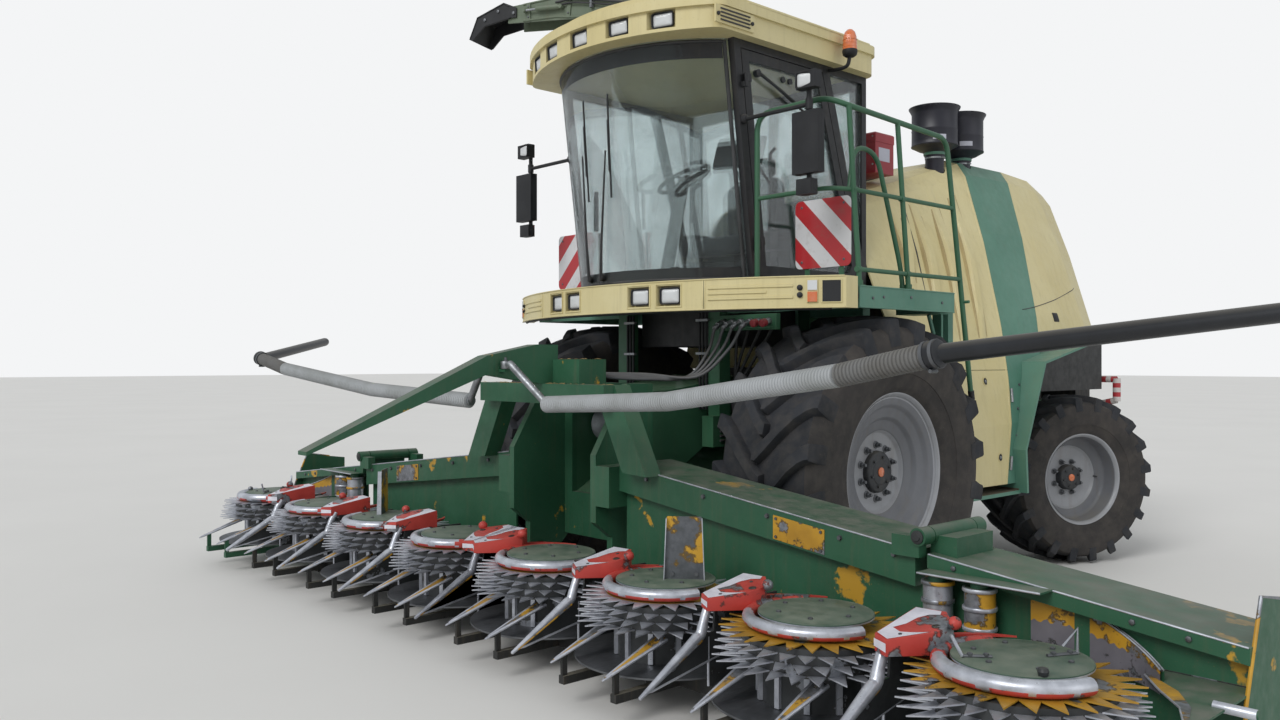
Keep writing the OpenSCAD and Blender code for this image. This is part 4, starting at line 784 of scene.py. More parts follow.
for i in range(1, 9):
    makePiece("cropRotor%d" % i, rotorShape(i), ["dustyLid", "brightSteel", "toothYellow", "wornDark",
                                                 "darkBolt", "wornPlate"], "drum_%d" % i,
              ("rotor_%d" % i,), sharp=30)
print("stage: rotors made")

dividerLook = {"headZ": 0.545, "headHigh": 0.055, "headRise": 0.16, "coneBack": (-2.08, 0.43),
               "coneTip": (-2.45, 0.218), "ringRadius": 0.29, "tubeRadius": 0.0275, "tubeZ": 0.552,
               "strapRadius": 0.385}


def addBentBar(shape, centre, radius, start, end, tube, finishes, steps=40, sides=14):
    # A tube bent round an upright axis; upper, lower and outer parts may be rubbed to another finish
    rings = []
    for k in range(steps + 1):
        a = math.radians(start + (end - start) * k / steps)
        rings.append([centre + polar(1, a) * (radius + tube * math.cos(t))
                      + Vector((0, 0, tube * math.sin(t))) for t in around(sides, math.pi / sides)])
    first = len(shape["finish"])
    addLoft(shape, rings, finishes[0])
    for k in range(steps):
        for n in range(sides):
            height = math.sin(2 * math.pi * (n + 1) / sides)
            share = k / steps + 0.05 * math.sin(7 * n)
            finish = finishes[0] if share < 0.3 or height < -0.35 + 0.12 * math.sin(k) else finishes[1]
            shape["finish"][first + k * sides + n] = finish
    shape["finish"][-1] = shape["finish"][-2] = finishes[1]


def addDivider(shape, x, s, grow=0.0):
    # Finishes: 0 red paint, 1 bright steel, 2 dark, 3 worn yellow, 4 bolts, 5 rubbed bare
    look = dividerLook
    low, high = look["headZ"] - grow, look["headZ"] + look["headHigh"] + grow
    plan = [(-0.015, -2.06), (-0.03, -1.76), (0.1, -1.75), (0.19, -1.85), (0.17, -1.95), (0.06, -2.1)]
    rise = look["headRise"]
    middleX = sum(p[0] for p in plan) / len(plan)
    middleY = sum(p[1] for p in plan) / len(plan)

    def ring(z, shrink):
        points = []
        for u, v in plan:
            away = Vector((u - middleX, v - middleY, 0))
            away -= away.normalized() * (shrink - grow)
            tilt = rise * (middleY + away.y + 2.1) if z > high - 0.01 else 0
            points.append(at(x + s * (middleX + away.x), middleY + away.y, z + tilt))
        return points

    def onTop(u, v, lift=0.0):
        return at(x + s * u, v, high + lift + rise * (v + 2.1))

    body = [ring(low, 0.001), ring(low + 0.004, 0), ring(high - 0.004, 0), ring(high, 0.001),
            ring(high + 0.001, 0.006)]
    addLoft(shape, handed(body, s), 0)
    # The bare, rubbed front corner
    bare = [(-0.012, -2.055), (-0.026, -1.765), (0.085, -1.757), (0.1, -1.79), (0.062, -1.81), (0.04, -1.86),
            (0.036, -1.93), (0.012, -1.985), (0.06, -2.01), (0.1, -1.995), (0.155, -1.965), (0.162, -1.955),
            (0.058, -2.092)]
    outline = [onTop(u, v, 0.0022) for u, v in (bare if s > 0 else bare[::-1])]
    addMesh(shape, outline, [tuple(range(len(outline)))], 5)
    front = [at(x + s * u, v, z) for u, v, z in ((-0.0165 - grow, -2.061 - grow, low + 0.02),
                                                 (0.0605, -2.1015 - grow, low + 0.016),
                                                 (0.0605, -2.1015 - grow, high - 0.013),
                                                 (-0.0165 - grow, -2.061 - grow, high - 0.013))]
    addMesh(shape, front if s > 0 else front[::-1], [(0, 1, 2, 3)], 5)
    normal = Vector((0, -rise, 1))
    addTurned(shape, [(-0.002, 0.018), (0.0035, 0.018), (0.0038, 0.013)], onTop(0.15, -1.9), normal, 2, 24,
              False)
    addTurned(shape, [(-0.004, 0.013), (0.0018, 0.013)], onTop(0.15, -1.9), normal, 2, 24)
    ball = [(-0.026 * math.cos(math.pi * k / 10), 0.001 + 0.026 * math.sin(math.pi * k / 10))
            for k in range(11)]
    addTurned(shape, ball, onTop(0.205, -1.862, 0.012), normal, 0, 24)
    for u, v in ((0.09, -1.84), (0.075, -2.03)):
        addTurned(shape, [(0, 0.008), (0.005, 0.008)], onTop(u, v), normal, 4, 6)
    # Neck and cone: bright on top where stalks slide, old yellow under it
    back, tip = look["coneBack"], look["coneTip"]
    route = [at(x, -2.02, low + 0.022), at(x, -2.055, 0.5), at(x, back[0], back[1]),
             at(x, back[0] - 0.03, back[1] - 0.018), at(x, tip[0], tip[1]),
             at(x, tip[0] - 0.004, tip[1] - 0.0025)]
    addTube(shape, smoothRoute(route[:4], 4)[:-1] + route[3:],
            [0.021 + grow] * 6 + [0.024 + grow] * 6 + [0.0245 + grow, 0.0085 + grow, 0.004], 1, 14)
    under = [at(x + o, y, z) for o, y, z in ((-0.012, back[0] - 0.03, back[1] - 0.036),
                                             (0.012, back[0] - 0.03, back[1] - 0.036),
                                             (0.004, tip[0] + 0.02, tip[1] + 0.002),
                                             (-0.004, tip[0] + 0.02, tip[1] + 0.002))]
    addMesh(shape, under, [(0, 1, 2, 3)], 3)
    for e in (-1, 1):
        addTube(shape, [at(x + e * 0.016, back[0] - 0.01, back[1] - 0.024),
                        at(x + e * 0.007, tip[0] + 0.03, tip[1] + 0.012)], [0.009, 0.004], 3, 8)
    # Keel plate under the cone, its lower edge kept bright
    plate = [(-2.4, 0.237), (-1.88, 0.331), (-1.9, 0.42), (-2.07, 0.43)]
    addPlate(shape, plate, at(x - 0.0045 - grow / 2, 0, 0), rearward, upward, 0.009 + grow, 2)
    addTube(shape, [at(x, -2.41, 0.232), at(x, -2.38, 0.2365), at(x, -1.88, 0.328)], [0.003, 0.0075, 0.0075],
            1, 8)
    addPlate(shape, [(-2.03, 0.181), (-1.3605, 0.181), (-1.3605, 0.429), (-1.56, 0.43), (-1.56, low + 0.002),
                     (-1.99, low + 0.002), (-2.0, 0.43), (-2.03, 0.42)], at(x - 0.0055, 0, 0), rearward,
             upward, 0.011, 2)
    addTube(shape, [at(x, -2.03, 0.185), at(x, -2.032, 0.41)], 0.0065, 1, 8)
    # Guard tube round the rotor beside it, and the red strap that runs back behind its cover
    rotor = at(x + s * rotorLook["pitch"] / 2, rotorLook["y"], look["tubeZ"])
    start, end, stub = (165, 347, 140) if s > 0 else (15, -167, 40)
    addBentBar(shape, rotor, look["ringRadius"], start, end, look["tubeRadius"] + grow, (0, 1))
    addBentBar(shape, rotor, look["ringRadius"], start, stub, look["tubeRadius"] + grow, (0, 0), 8)
    strap = []
    for k in range(13):
        a = math.radians(172 - 52 * k / 12)
        wide = 0.03 * (1 - 0.75 * (k / 12) ** 2)
        out = Vector((s * math.cos(a), math.sin(a), 0))
        up = Vector((0, 0, 0.006 + 0.016 * (1 - k / 12)))
        inner, outer = (rotor + out * (look["strapRadius"] + side * wide / 2) for side in (-1, 1))
        strap.append([inner, outer, outer + up, inner + up])
    addLoft(shape, handed(strap, s), 0)


dividerFinish = ["wornRed", "brightSteel", "wornDark", "wornYellow", "darkBolt", "rubbedSteel"]
dividers = newShape()
for n in (0, 1, 2):
    for s in (-1, 1):
        addDivider(dividers, s * n * rotorLook["pitch"], s)
makePiece("headerDividers", dividers, dividerFinish, "header", ("header_dividers",), sharp=35)
print("stage: dividers made")

pointLook = {"tip": (-2.412, 0.2262), "tail": (-2.06, 0.3475), "lift": 0.0095, "thick": 0.0115,
             "spread": 0.19}


def addSmallPoint(shape, x):
    # Blade with rubbed edges over paint and crop stain, then the thin rod behind it
    tip, tail = pointLook["tip"], pointLook["tail"]
    plate = [at(x + o, y, z + pointLook["lift"]) for o, y, z in ((-0.003, *tip), (0.003, *tip),
                                                                 (0.037, *tail), (-0.037, *tail))]
    addMesh(shape, plate, [(0, 1, 2, 3)], 0)
    low = [p - Vector((0, 0, pointLook["thick"])) for p in plate]
    addMesh(shape, low, [(3, 2, 1, 0)], 2)
    for e in (-1, 1):
        addTube(shape, [at(x + e * 0.002, tip[0] - 0.012, tip[1] - 0.002),
                        at(x + e * 0.004, tip[0] + 0.02, tip[1] + 0.011),
                        at(x + e * 0.037, tail[0], tail[1] + 0.004)], [0.003, 0.0075, 0.009], 1, 10)
    addTube(shape, smoothRoute([at(x + 0.034, -2.1, 0.338), at(x + 0.02, -2.075, 0.347), at(x, -2.055, 0.352),
                                at(x - 0.004, -2.045, 0.353)], 4), 0.0098, 1, 10)
    addTube(shape, [at(x, -2.09, 0.344), at(x, -2.046, 0.348)], 0.0115, 2, 8)


for side, places in (("header", [-2.5, -1.5, -0.5, 0.5, 1.5, 2.5]), ("wing_l", [3.5]), ("wing_r", [-3.5])):
    points = newShape()
    for share in places:
        for e in (-1, 1):
            addSmallPoint(points, share * rotorLook["pitch"] + e * pointLook["spread"])
    makePiece("smallPoints%s" % {"header": "Middle", "wing_l": "Left", "wing_r": "Right"}[side], points,
              ["wornYellow", "brightSteel", "wornDark"], side, sharp=40)

wingLook = {"beamTop": 1.052, "beamDrop": 0.12, "hubX": 3.28125, "wallRadius": 0.491, "wallTop": 0.72,
            "wallDrop": 0.402}


def beamZ(x):
    return wingLook["beamTop"] - (x - 0.6) * wingLook["beamDrop"]


def wallEdge(degrees, grow=0.0):
    # A place on the curved wall round the outer rotor, and how high the wall is there
    radius, a = wingLook["wallRadius"] + grow, math.radians(degrees)
    x, y = wingLook["hubX"] + radius * math.cos(a), rotorLook["y"] + radius * math.sin(a)
    return x, y, min(wingLook["wallTop"], wingLook["wallTop"] - wingLook["wallDrop"] * (x - 3.18))


def wingShape():
    # Finishes: 0 bright edge, 1 worn yellow, 2 grey wear, 3 dark, 4 bolts
    shape = newShape()
    random.seed(5)
    # Wear lining of the curved wall: bare grey below, old yellow above
    columns = []
    for k in range(49):
        x, y, high = wallEdge(113.2 - 69.2 * k / 48)
        top = min(0.7195, high) - 0.002
        share = 0.55 + 0.03 * math.sin(k * 1.7) + 0.02 * random.random()
        split = 0.45 + (top - 0.45) * share + 0.028 * (k / 48)
        columns.append([at(x, y, 0.451), at(x, y, min(split, top - 0.0005)), at(x, y, top)])
    for a, b in zip(columns[:-1], columns[1:]):
        addMesh(shape, [a[0], b[0], b[1], a[1]], [(0, 1, 2, 3)], 2)
        addMesh(shape, [a[1], b[1], b[2], a[2]], [(0, 1, 2, 3)], 1)
    # Folded lip along its top: two bright edges with a dark gap
    for grow, high, finish, thick in ((0.000, 0.004, 0, 0.004), (0.006, 0.002, 3, 0.005),
                                      (0.0115, 0.006, 0, 0.004)):
        route = []
        for k in range(49):
            x, y, top = wallEdge(112.2 - 68 * k / 48, grow)
            route.append(at(x, y, top + high))
        addTube(shape, route, thick, finish, 8)
    # Ridge of the beam, rubbed bright, and the seam over the flat plate
    addTube(shape, [at(2.625, -1.419, beamZ(2.625) - 0.001), at(3.896, -1.419, beamZ(3.896) - 0.001)], 0.0042,
            0, 8)
    addTube(shape, [at(3.45, -1.3585, 0.5025), at(3.894, -1.3585, 0.5025)], 0.003, 3, 6)
    # Flat plate's rubbed inner edge
    edge = [(3.561, -1.458), (3.673, -1.611), (3.79, -1.75), (3.854, -1.893)]
    inner = [at(x, y, 0.5012) for x, y in edge]
    outer = [at(x + d, y + 0.6 * d, 0.5012) for (x, y), d in zip(edge, (0.012, 0.05, 0.03, 0.012))]
    for k in range(3):
        addMesh(shape, [inner[k], outer[k], outer[k + 1], inner[k + 1]], [(3, 2, 1, 0)], 1)
    addTube(shape, [at(x, y, 0.497) for x, y in edge], 0.0045, 0, 8)
    # End plate's rubbed front edge
    route = [at(3.901, y, z) for y, z in ((-1.4705, 0.12), (-1.4705, 0.455), (-1.311, 0.82), (-1.1, 0.781))]
    addTube(shape, route, 0.0075, 1, 8)
    # Bright tube at the end, crop slides off it
    addTube(shape, [at(3.86, -1.65, 0.5), at(3.992, -1.65, 0.5), at(3.9985, -1.65, 0.5)],
            [0.0182, 0.0182, 0.013], 0, 20)
    # Shelf over the transport drums, and the drums
    addTube(shape, [at(2.632, -1.52, 0.742), at(3.188, -1.52, 0.742)], 0.0048, 0, 8)
    for n, x in enumerate((2.692, 2.89)):
        centre = at(x, -1.45, 0)
        profile = [(0.451, 0.0635), (0.5, 0.0632), (0.56, 0.0635), (0.62, 0.0632), (0.7, 0.0635)]
        addTurned(shape, profile, centre, upward, 1 if n else 0, 40, False)
        for z in (0.449, 0.533, 0.617, 0.695):
            addTurned(shape, [(z, 0.06), (z, 0.0705), (z + 0.002, 0.0715), (z + 0.014, 0.0715),
                              (z + 0.016, 0.07), (z + 0.016, 0.06)], centre, upward, 0 if n or z < 0.6 else 1,
                      40, False)
    # Hinge pin's ends and the bolts on the front face
    for y, out in ((-1.466, -1), (-0.945, 1)):
        addTurned(shape, [(0, 0.03), (0.006, 0.03), (0.008, 0.018), (0.012, 0.016)], at(2.6, y, 0.885),
                  (0, out, 0), 3, 24)
    for x in (2.75, 3.0, 3.5, 3.7):
        addTurned(shape, [(0, 0.012), (0.008, 0.012), (0.01, 0.008)], at(x, -1.42, beamZ(x) - 0.03), forward,
                  4, 6)
    return shape


wingFinish = ["brightSteel", "wornYellow", "wornGrey", "wornDark", "darkBolt"]
for body, mirrored in (("wing_l", False), ("wing_r", True)):
    name = "Right" if mirrored else "Left"
    makePiece("wingWear%s" % name, wingShape(), wingFinish, body, mirrored=mirrored, sharp=40)
    own = newShape()
    addDivider(own, 3 * rotorLook["pitch"], 1, 0.004)
    makePiece("wingDivider%s" % name, own, dividerFinish, body, mirrored=mirrored, sharp=35)
print("stage: wings made")

leafCount = 150


def headerTrim():
    # Finishes: 0 bright edge, 1 worn yellow, 2 bolts, 3 dry leaf
    shape = newShape()
    for s in (-1, 1):
        addTube(shape, [at(s * 0.565, -1.419, beamZ(0.565) - 0.001),
                        at(s * 2.556, -1.419, beamZ(2.556) - 0.001)], 0.0042, 0, 8)
        for x in (0.8, 1.25, 1.7, 2.15, 2.45):
            addTurned(shape, [(0, 0.014), (0.003, 0.014), (0.003, 0.011), (0.012, 0.011)],
                      at(s * x, -1.42, beamZ(x) - 0.045), forward, 2, 6)
        # Access plate with its screws on the sloping front
        x = 1.9  # the plate's middle
        addPlate(shape, [(-0.16, -0.06), (0.16, -0.06), (0.16, 0.06), (-0.16, 0.06)],
                 at(s * x, -1.42, beamZ(x) - 0.09), (1, 0, -s * 0.12), upward, 0.004, 1)
        for u in (-0.14, 0.14):
            for v in (-0.045, 0.045):
                addTurned(shape, [(0, 0.008), (0.006, 0.008)],
                          at(s * x + u, -1.424, beamZ(x) - 0.09 + v - s * u * 0.12), forward, 2, 6)
        # Grease nipples and pin ends on the swinging bar's post
        addTurned(shape, [(1.658, 0.016), (1.664, 0.016), (1.664, 0.009), (1.68, 0.009)],
                  at(s * 0.09, -1.9, 0), upward, 2, 12)
    # Leaf litter left on the frame's ledges
    random.seed(11)
    for n in range(leafCount):
        x = random.uniform(-0.62, 0.62)
        onBeam = random.random() < 0.5
        y, z = (random.uniform(-1.59, -1.49), 1.5205) if onBeam else (random.uniform(-1.5, -1.33), 1.6705)
        if z > 1.6 and not -0.24 < x < 0.3:
            continue
        a, long, wide = random.uniform(0, 3.1), random.uniform(0.01, 0.035), random.uniform(0.002, 0.006)
        along, across = polar(1, a) * long, Vector((-math.sin(a), math.cos(a), 0)) * wide
        spot = at(x, y, z)
        lift = Vector((0, 0, random.uniform(0.0015, 0.006)))
        addMesh(shape, [spot - along, spot + across + lift, spot + along, spot - across + lift * 0.5],
                [(0, 1, 2, 3)], 3)
    return shape


makePiece("headerTrim", headerTrim(), ["brightSteel", "wornYellow", "darkBolt", "dryLeaf"], "header",
          sharp=40)
print("stage: header trim made")

# Crop bars

barLook = {"points": [(0.14, -1.9, 1.64), (0.4, -1.83, 1.41), (1.5, -1.93, 1.46), (2.63, -2.07, 1.6),
                      (3.06, -2.08, 1.68), (3.9615, -1.11, 1.84)], "rib": 0.018, "sleeve": 0.048,
           "groove": 0.0425, "tube": 0.0375, "arm": 0.0225}


def barShape():
    # Finishes: 0 grey sleeve, 1 arm, 2 black tube, 3 stained sleeve, 4 clamp screws
    shape = newShape()
    spots = [at(*p) for p in barLook["points"]]
    addTurned(shape, [(1.613, 0.0135), (1.613, 0.027), (1.616, 0.029), (1.653, 0.029), (1.6565, 0.027),
                      (1.6565, 0.0135)], at(0.09, -1.9, 0), upward, 1, 32, False)
    addTube(shape, [at(0.117, -1.9, 1.634), spots[0], spots[0].lerp(spots[1], 0.06), spots[1]],
            barLook["arm"], 1, 20)
    addTurned(shape, [(-0.02, 0.03), (0.05, 0.03), (0.055, 0.026)], spots[1], spots[2] - spots[1], 1, 24)
    for a, b, part in ((1, 2, 0), (2, 3, 0), (3, 4, 3)):
        # Corrugated sleeve, each rib with its flat and its groove
        route, radii = [], []
        start, end = spots[a], spots[b]
        count = round((end - start).length / barLook["rib"])
        for k in range(count):
            for share, r in ((0.08, barLook["groove"]), (0.24, barLook["sleeve"]), (0.68, barLook["sleeve"]),
                             (0.84, barLook["groove"])):
                route.append(start.lerp(end, (k + share) / count))
                radii.append(r)
        addTube(shape, route, radii, part, 20)
    # Hose clamp over the joint, then the smooth tube
    ahead = (spots[4] - spots[3]).normalized()
    for shift in (-0.028, 0.012):
        addTurned(shape, [(shift, 0.05), (shift, 0.0555), (shift + 0.014, 0.0555), (shift + 0.014, 0.05)],
                  spots[4], ahead, 4, 32)
    addTurned(shape, [(-0.032, 0.05), (-0.03, 0.0528), (0.03, 0.0528), (0.032, 0.045)], spots[4], ahead, 2,
              32)
    addTurned(shape, [(-0.02, 0.008), (0.025, 0.008)], spots[4] + Vector((0, 0, -0.06)), rearward, 4, 6)
    addTube(shape, [spots[4], spots[4].lerp(spots[5], 0.985), spots[5], spots[5]],
            [barLook["tube"], barLook["tube"], barLook["tube"] - 0.003, 0.024], 2, 28)
    return shape


for body, mirrored in (("bar_l", False), ("bar_r", True)):
    makePiece("cropBar%s" % ("Right" if mirrored else "Left"), barShape(),
              ["sleevePlastic", "zincSteel", "tubePlastic", "stainedPlastic", "darkBolt"], body,
              ("crop_bar_right" if mirrored else "crop_bar_left",), mirrored=mirrored,
              sharp=50)
print("stage: crop bars made")

# Lamps and light bar

barLine = {"half": 1.567, "endY": -0.58, "midY": -1.08}  # the light bar's curve seen from above
barDepth = barLine["endY"] - barLine["midY"]
planRadius = (barLine["half"] ** 2 + barDepth ** 2) / (2 * barDepth)


def barY(x):
    return barLine["midY"] + planRadius - math.sqrt(planRadius ** 2 - x * x)


def barOut(x):
    return Vector((x, barY(x) - barLine["midY"] - planRadius, 0)).normalized()


def roundedRing(centre, out, wide, high, corner, steps=4):
    out = Vector(out).normalized()
    side = Vector(upward).cross(out).normalized()
    up = out.cross(side)
    ring = []
    for quarter, (u, v) in enumerate(((1, 1), (-1, 1), (-1, -1), (1, -1))):
        for k in range(steps + 1):
            a = math.pi / 2 * (quarter + k / steps)
            ring.append(centre + side * (u * (wide / 2 - corner) + corner * math.cos(a))
                        + up * (v * (high / 2 - corner) + corner * math.sin(a)))
    return ring


def addWorkLamp(shape, centre, out, size, case=0, lens=1):
    # Housing, raised bezel, then a lens that bulges a little, with its reflector's edge round it
    out = Vector(out).normalized()
    wide, high, deep = size
    corner = 0.16 * high
    housing = [(-deep, 0.86, 0.8), (-deep * 0.3, 0.98, 0.98), (0, 1, 1), (0.004, 0.985, 0.98),
               (0.004, 0.9, 0.86), (-0.008, 0.87, 0.82)]
    face = [(-0.008, 0.872, 0.822), (-0.004, 0.84, 0.78), (0.002, 0.6, 0.55), (0.0035, 0.25, 0.22)]
    for rings, finish in ((housing, case), (face, lens)):
        addLoft(shape, [roundedRing(centre + out * d, out, wide * w, high * h, corner * h)
                        for d, w, h in rings], finish)


lampLook = {"barX": (-0.56, -0.33, 0.33, 0.56), "roofX": (-0.62, -0.33, 0, 0.33, 0.62), "roofFrontY": -1.28,
            "roofRadius": 1.5, "roundSpot": (1.51, -0.433, 2.04), "barSize": (0.152, 0.106, 0.05),
            "roofSize": (0.15, 0.092, 0.04), "postSize": (0.138, 0.098, 0.05), "rearSize": (0.17, 0.11, 0.02)}
lamps = newShape()


def roofEdgeY(x):
    radius = lampLook["roofRadius"]
    return lampLook["roofFrontY"] + radius - math.sqrt(radius ** 2 - x * x)


for x in lampLook["barX"]:
    addWorkLamp(lamps, at(x, barY(x) + 0.014, 2.059), barOut(x), lampLook["barSize"])
for x in lampLook["roofX"]:
    addWorkLamp(lamps, at(x, roofEdgeY(x) + 0.018, 3.715), (0.55 * x, -1, -0.08), lampLook["roofSize"])
for s in (-1, 1):
    # Lamp on each mirror's post, and the small round lamp on the platform's front
    addWorkLamp(lamps, at(s * 1.38, -0.716, 3.28), (s * 0.1, -1, 0), lampLook["postSize"])
    x, y, z = lampLook["roundSpot"]
    addTurned(lamps, [(-0.03, 0.034), (0, 0.036), (0.006, 0.034), (0.006, 0.028)], at(s * x, y, z), forward,
              0, 32)
    addTurned(lamps, [(0.004, 0.028), (0.011, 0.022), (0.013, 0.008)], at(s * x, y, z), forward, 2, 32)
makePiece("workLamps", lamps, ["blackPlastic", "clearLens", "orangeLens"], "chassis",
          ("lamps",), sharp=50)


def barPoint(x, z, lift=0.0):
    return at(x, barY(x), z) + barOut(x) * lift


def barRing(x, low, high, lift, back=0.004):
    # A raised rib's section at a place across the bar
    cut = min(0.004, (high - low) / 3)
    return [barPoint(x, low, -back), barPoint(x, low, 0), barPoint(x, low + cut, lift),
            barPoint(x, high - cut, lift), barPoint(x, high, 0), barPoint(x, high, -back)]


def addBarRib(shape, x0, x1, low, high, lift, finish, steps=12):
    rings = [barRing(x0 + (x1 - x0) * k / steps, low, high, lift) for k in range(steps + 1)]
    addLoft(shape, rings if x1 > x0 else rings[::-1], finish)


def lightBarShape():
    # Finishes: 0 cream, 1 black, 2 clear lens, 3 amber lens, 4 seam shade
    shape = newShape()
    for s in (-1, 1):
        for low, end in ((2.085, 1.31), (2.052, 1.17), (2.019, 1.31)):
            addBarRib(shape, s * 0.83, s * end, low, low + 0.018, 0.007, 0)
        for x in (0.795, 0.805):
            addBarRib(shape, s * x, s * (x + 0.006), 1.97, 2.144, 0.003, 0, 1)
        addBarRib(shape, s * 0.8015, s * 0.8045, 1.968, 2.146, 0.0006, 4, 1)
        for z in (2.04, 2.082):
            addTurned(shape, [(0, 0.017), (0.006, 0.017), (0.007, 0.011), (0.016, 0.011), (0.018, 0.007)],
                      barPoint(s * 1.345, z), barOut(s * 1.345), 1, 24)
        # Recess frames round the headlights
        for x in (0.33, 0.56):
            a, b = s * (x - 0.092), s * (x + 0.092)
            for low, high in ((1.985, 1.992), (2.126, 2.133)):
                addBarRib(shape, min(a, b), max(a, b), low, high, 0.005, 0, 4)
            for edge in (a, b):
                addBarRib(shape, edge - 0.0035, edge + 0.0035, 1.985, 2.133, 0.005, 0, 1)
        # Indicator: clear over amber, in one frame; then the dark panel
        for (a, b), (low, high), lift, finish in (((1.38, 1.435), (1.992, 2.13), 0.006, 0),
                                                  ((1.384, 1.431), (2.063, 2.126), 0.013, 2),
                                                  ((1.384, 1.431), (1.996, 2.06), 0.013, 3),
                                                  ((1.45, 1.548), (1.99, 2.132), 0.005, 0),
                                                  ((1.456, 1.542), (1.997, 2.125), 0.0075, 1)):
            addBarRib(shape, min(s * a, s * b), max(s * a, s * b), low, high, lift, finish, 4)
    # Top and bottom folds of the shell, rubber seal under it
    for z in (2.1475, 1.9675):
        addTube(shape, [barPoint(-1.56 + 3.12 * k / 40, z, 0.0012) for k in range(41)], 0.0045, 0, 8)
    addTube(shape, [barPoint(-1.5 + 3.0 * k / 40, 1.961, -0.03) for k in range(41)], 0.009, 1, 8)
    return shape


makePiece("lightBarTrim", lightBarShape(), ["creamEnamel", "blackPlastic", "clearLens", "amberLens",
                                            "chassisEnamel"], "chassis", sharp=40)
print("stage: lamps made")

# Cab

cabLook = {"halfWide": 0.85, "floorTop": 2.16, "footY": -0.56, "bulge": 0.4, "lean": math.atan(0.19 / 1.48)}
screenChord = cabLook["halfWide"] - 0.045
screenRadius = (screenChord ** 2 + cabLook["bulge"] ** 2) / (2 * cabLook["bulge"])


def screenPoint(x, z, out=0.0):
    # A place on the windscreen's outer face
    angle = math.asin(x / screenRadius)
    reach = screenRadius + out
    y = screenRadius - cabLook["bulge"] - reach * math.cos(angle)
    up = (z - cabLook["floorTop"]) / math.cos(cabLook["lean"])
    return at(reach * math.sin(angle), cabLook["footY"] + y * math.cos(cabLook["lean"])
              - up * math.sin(cabLook["lean"]), z)


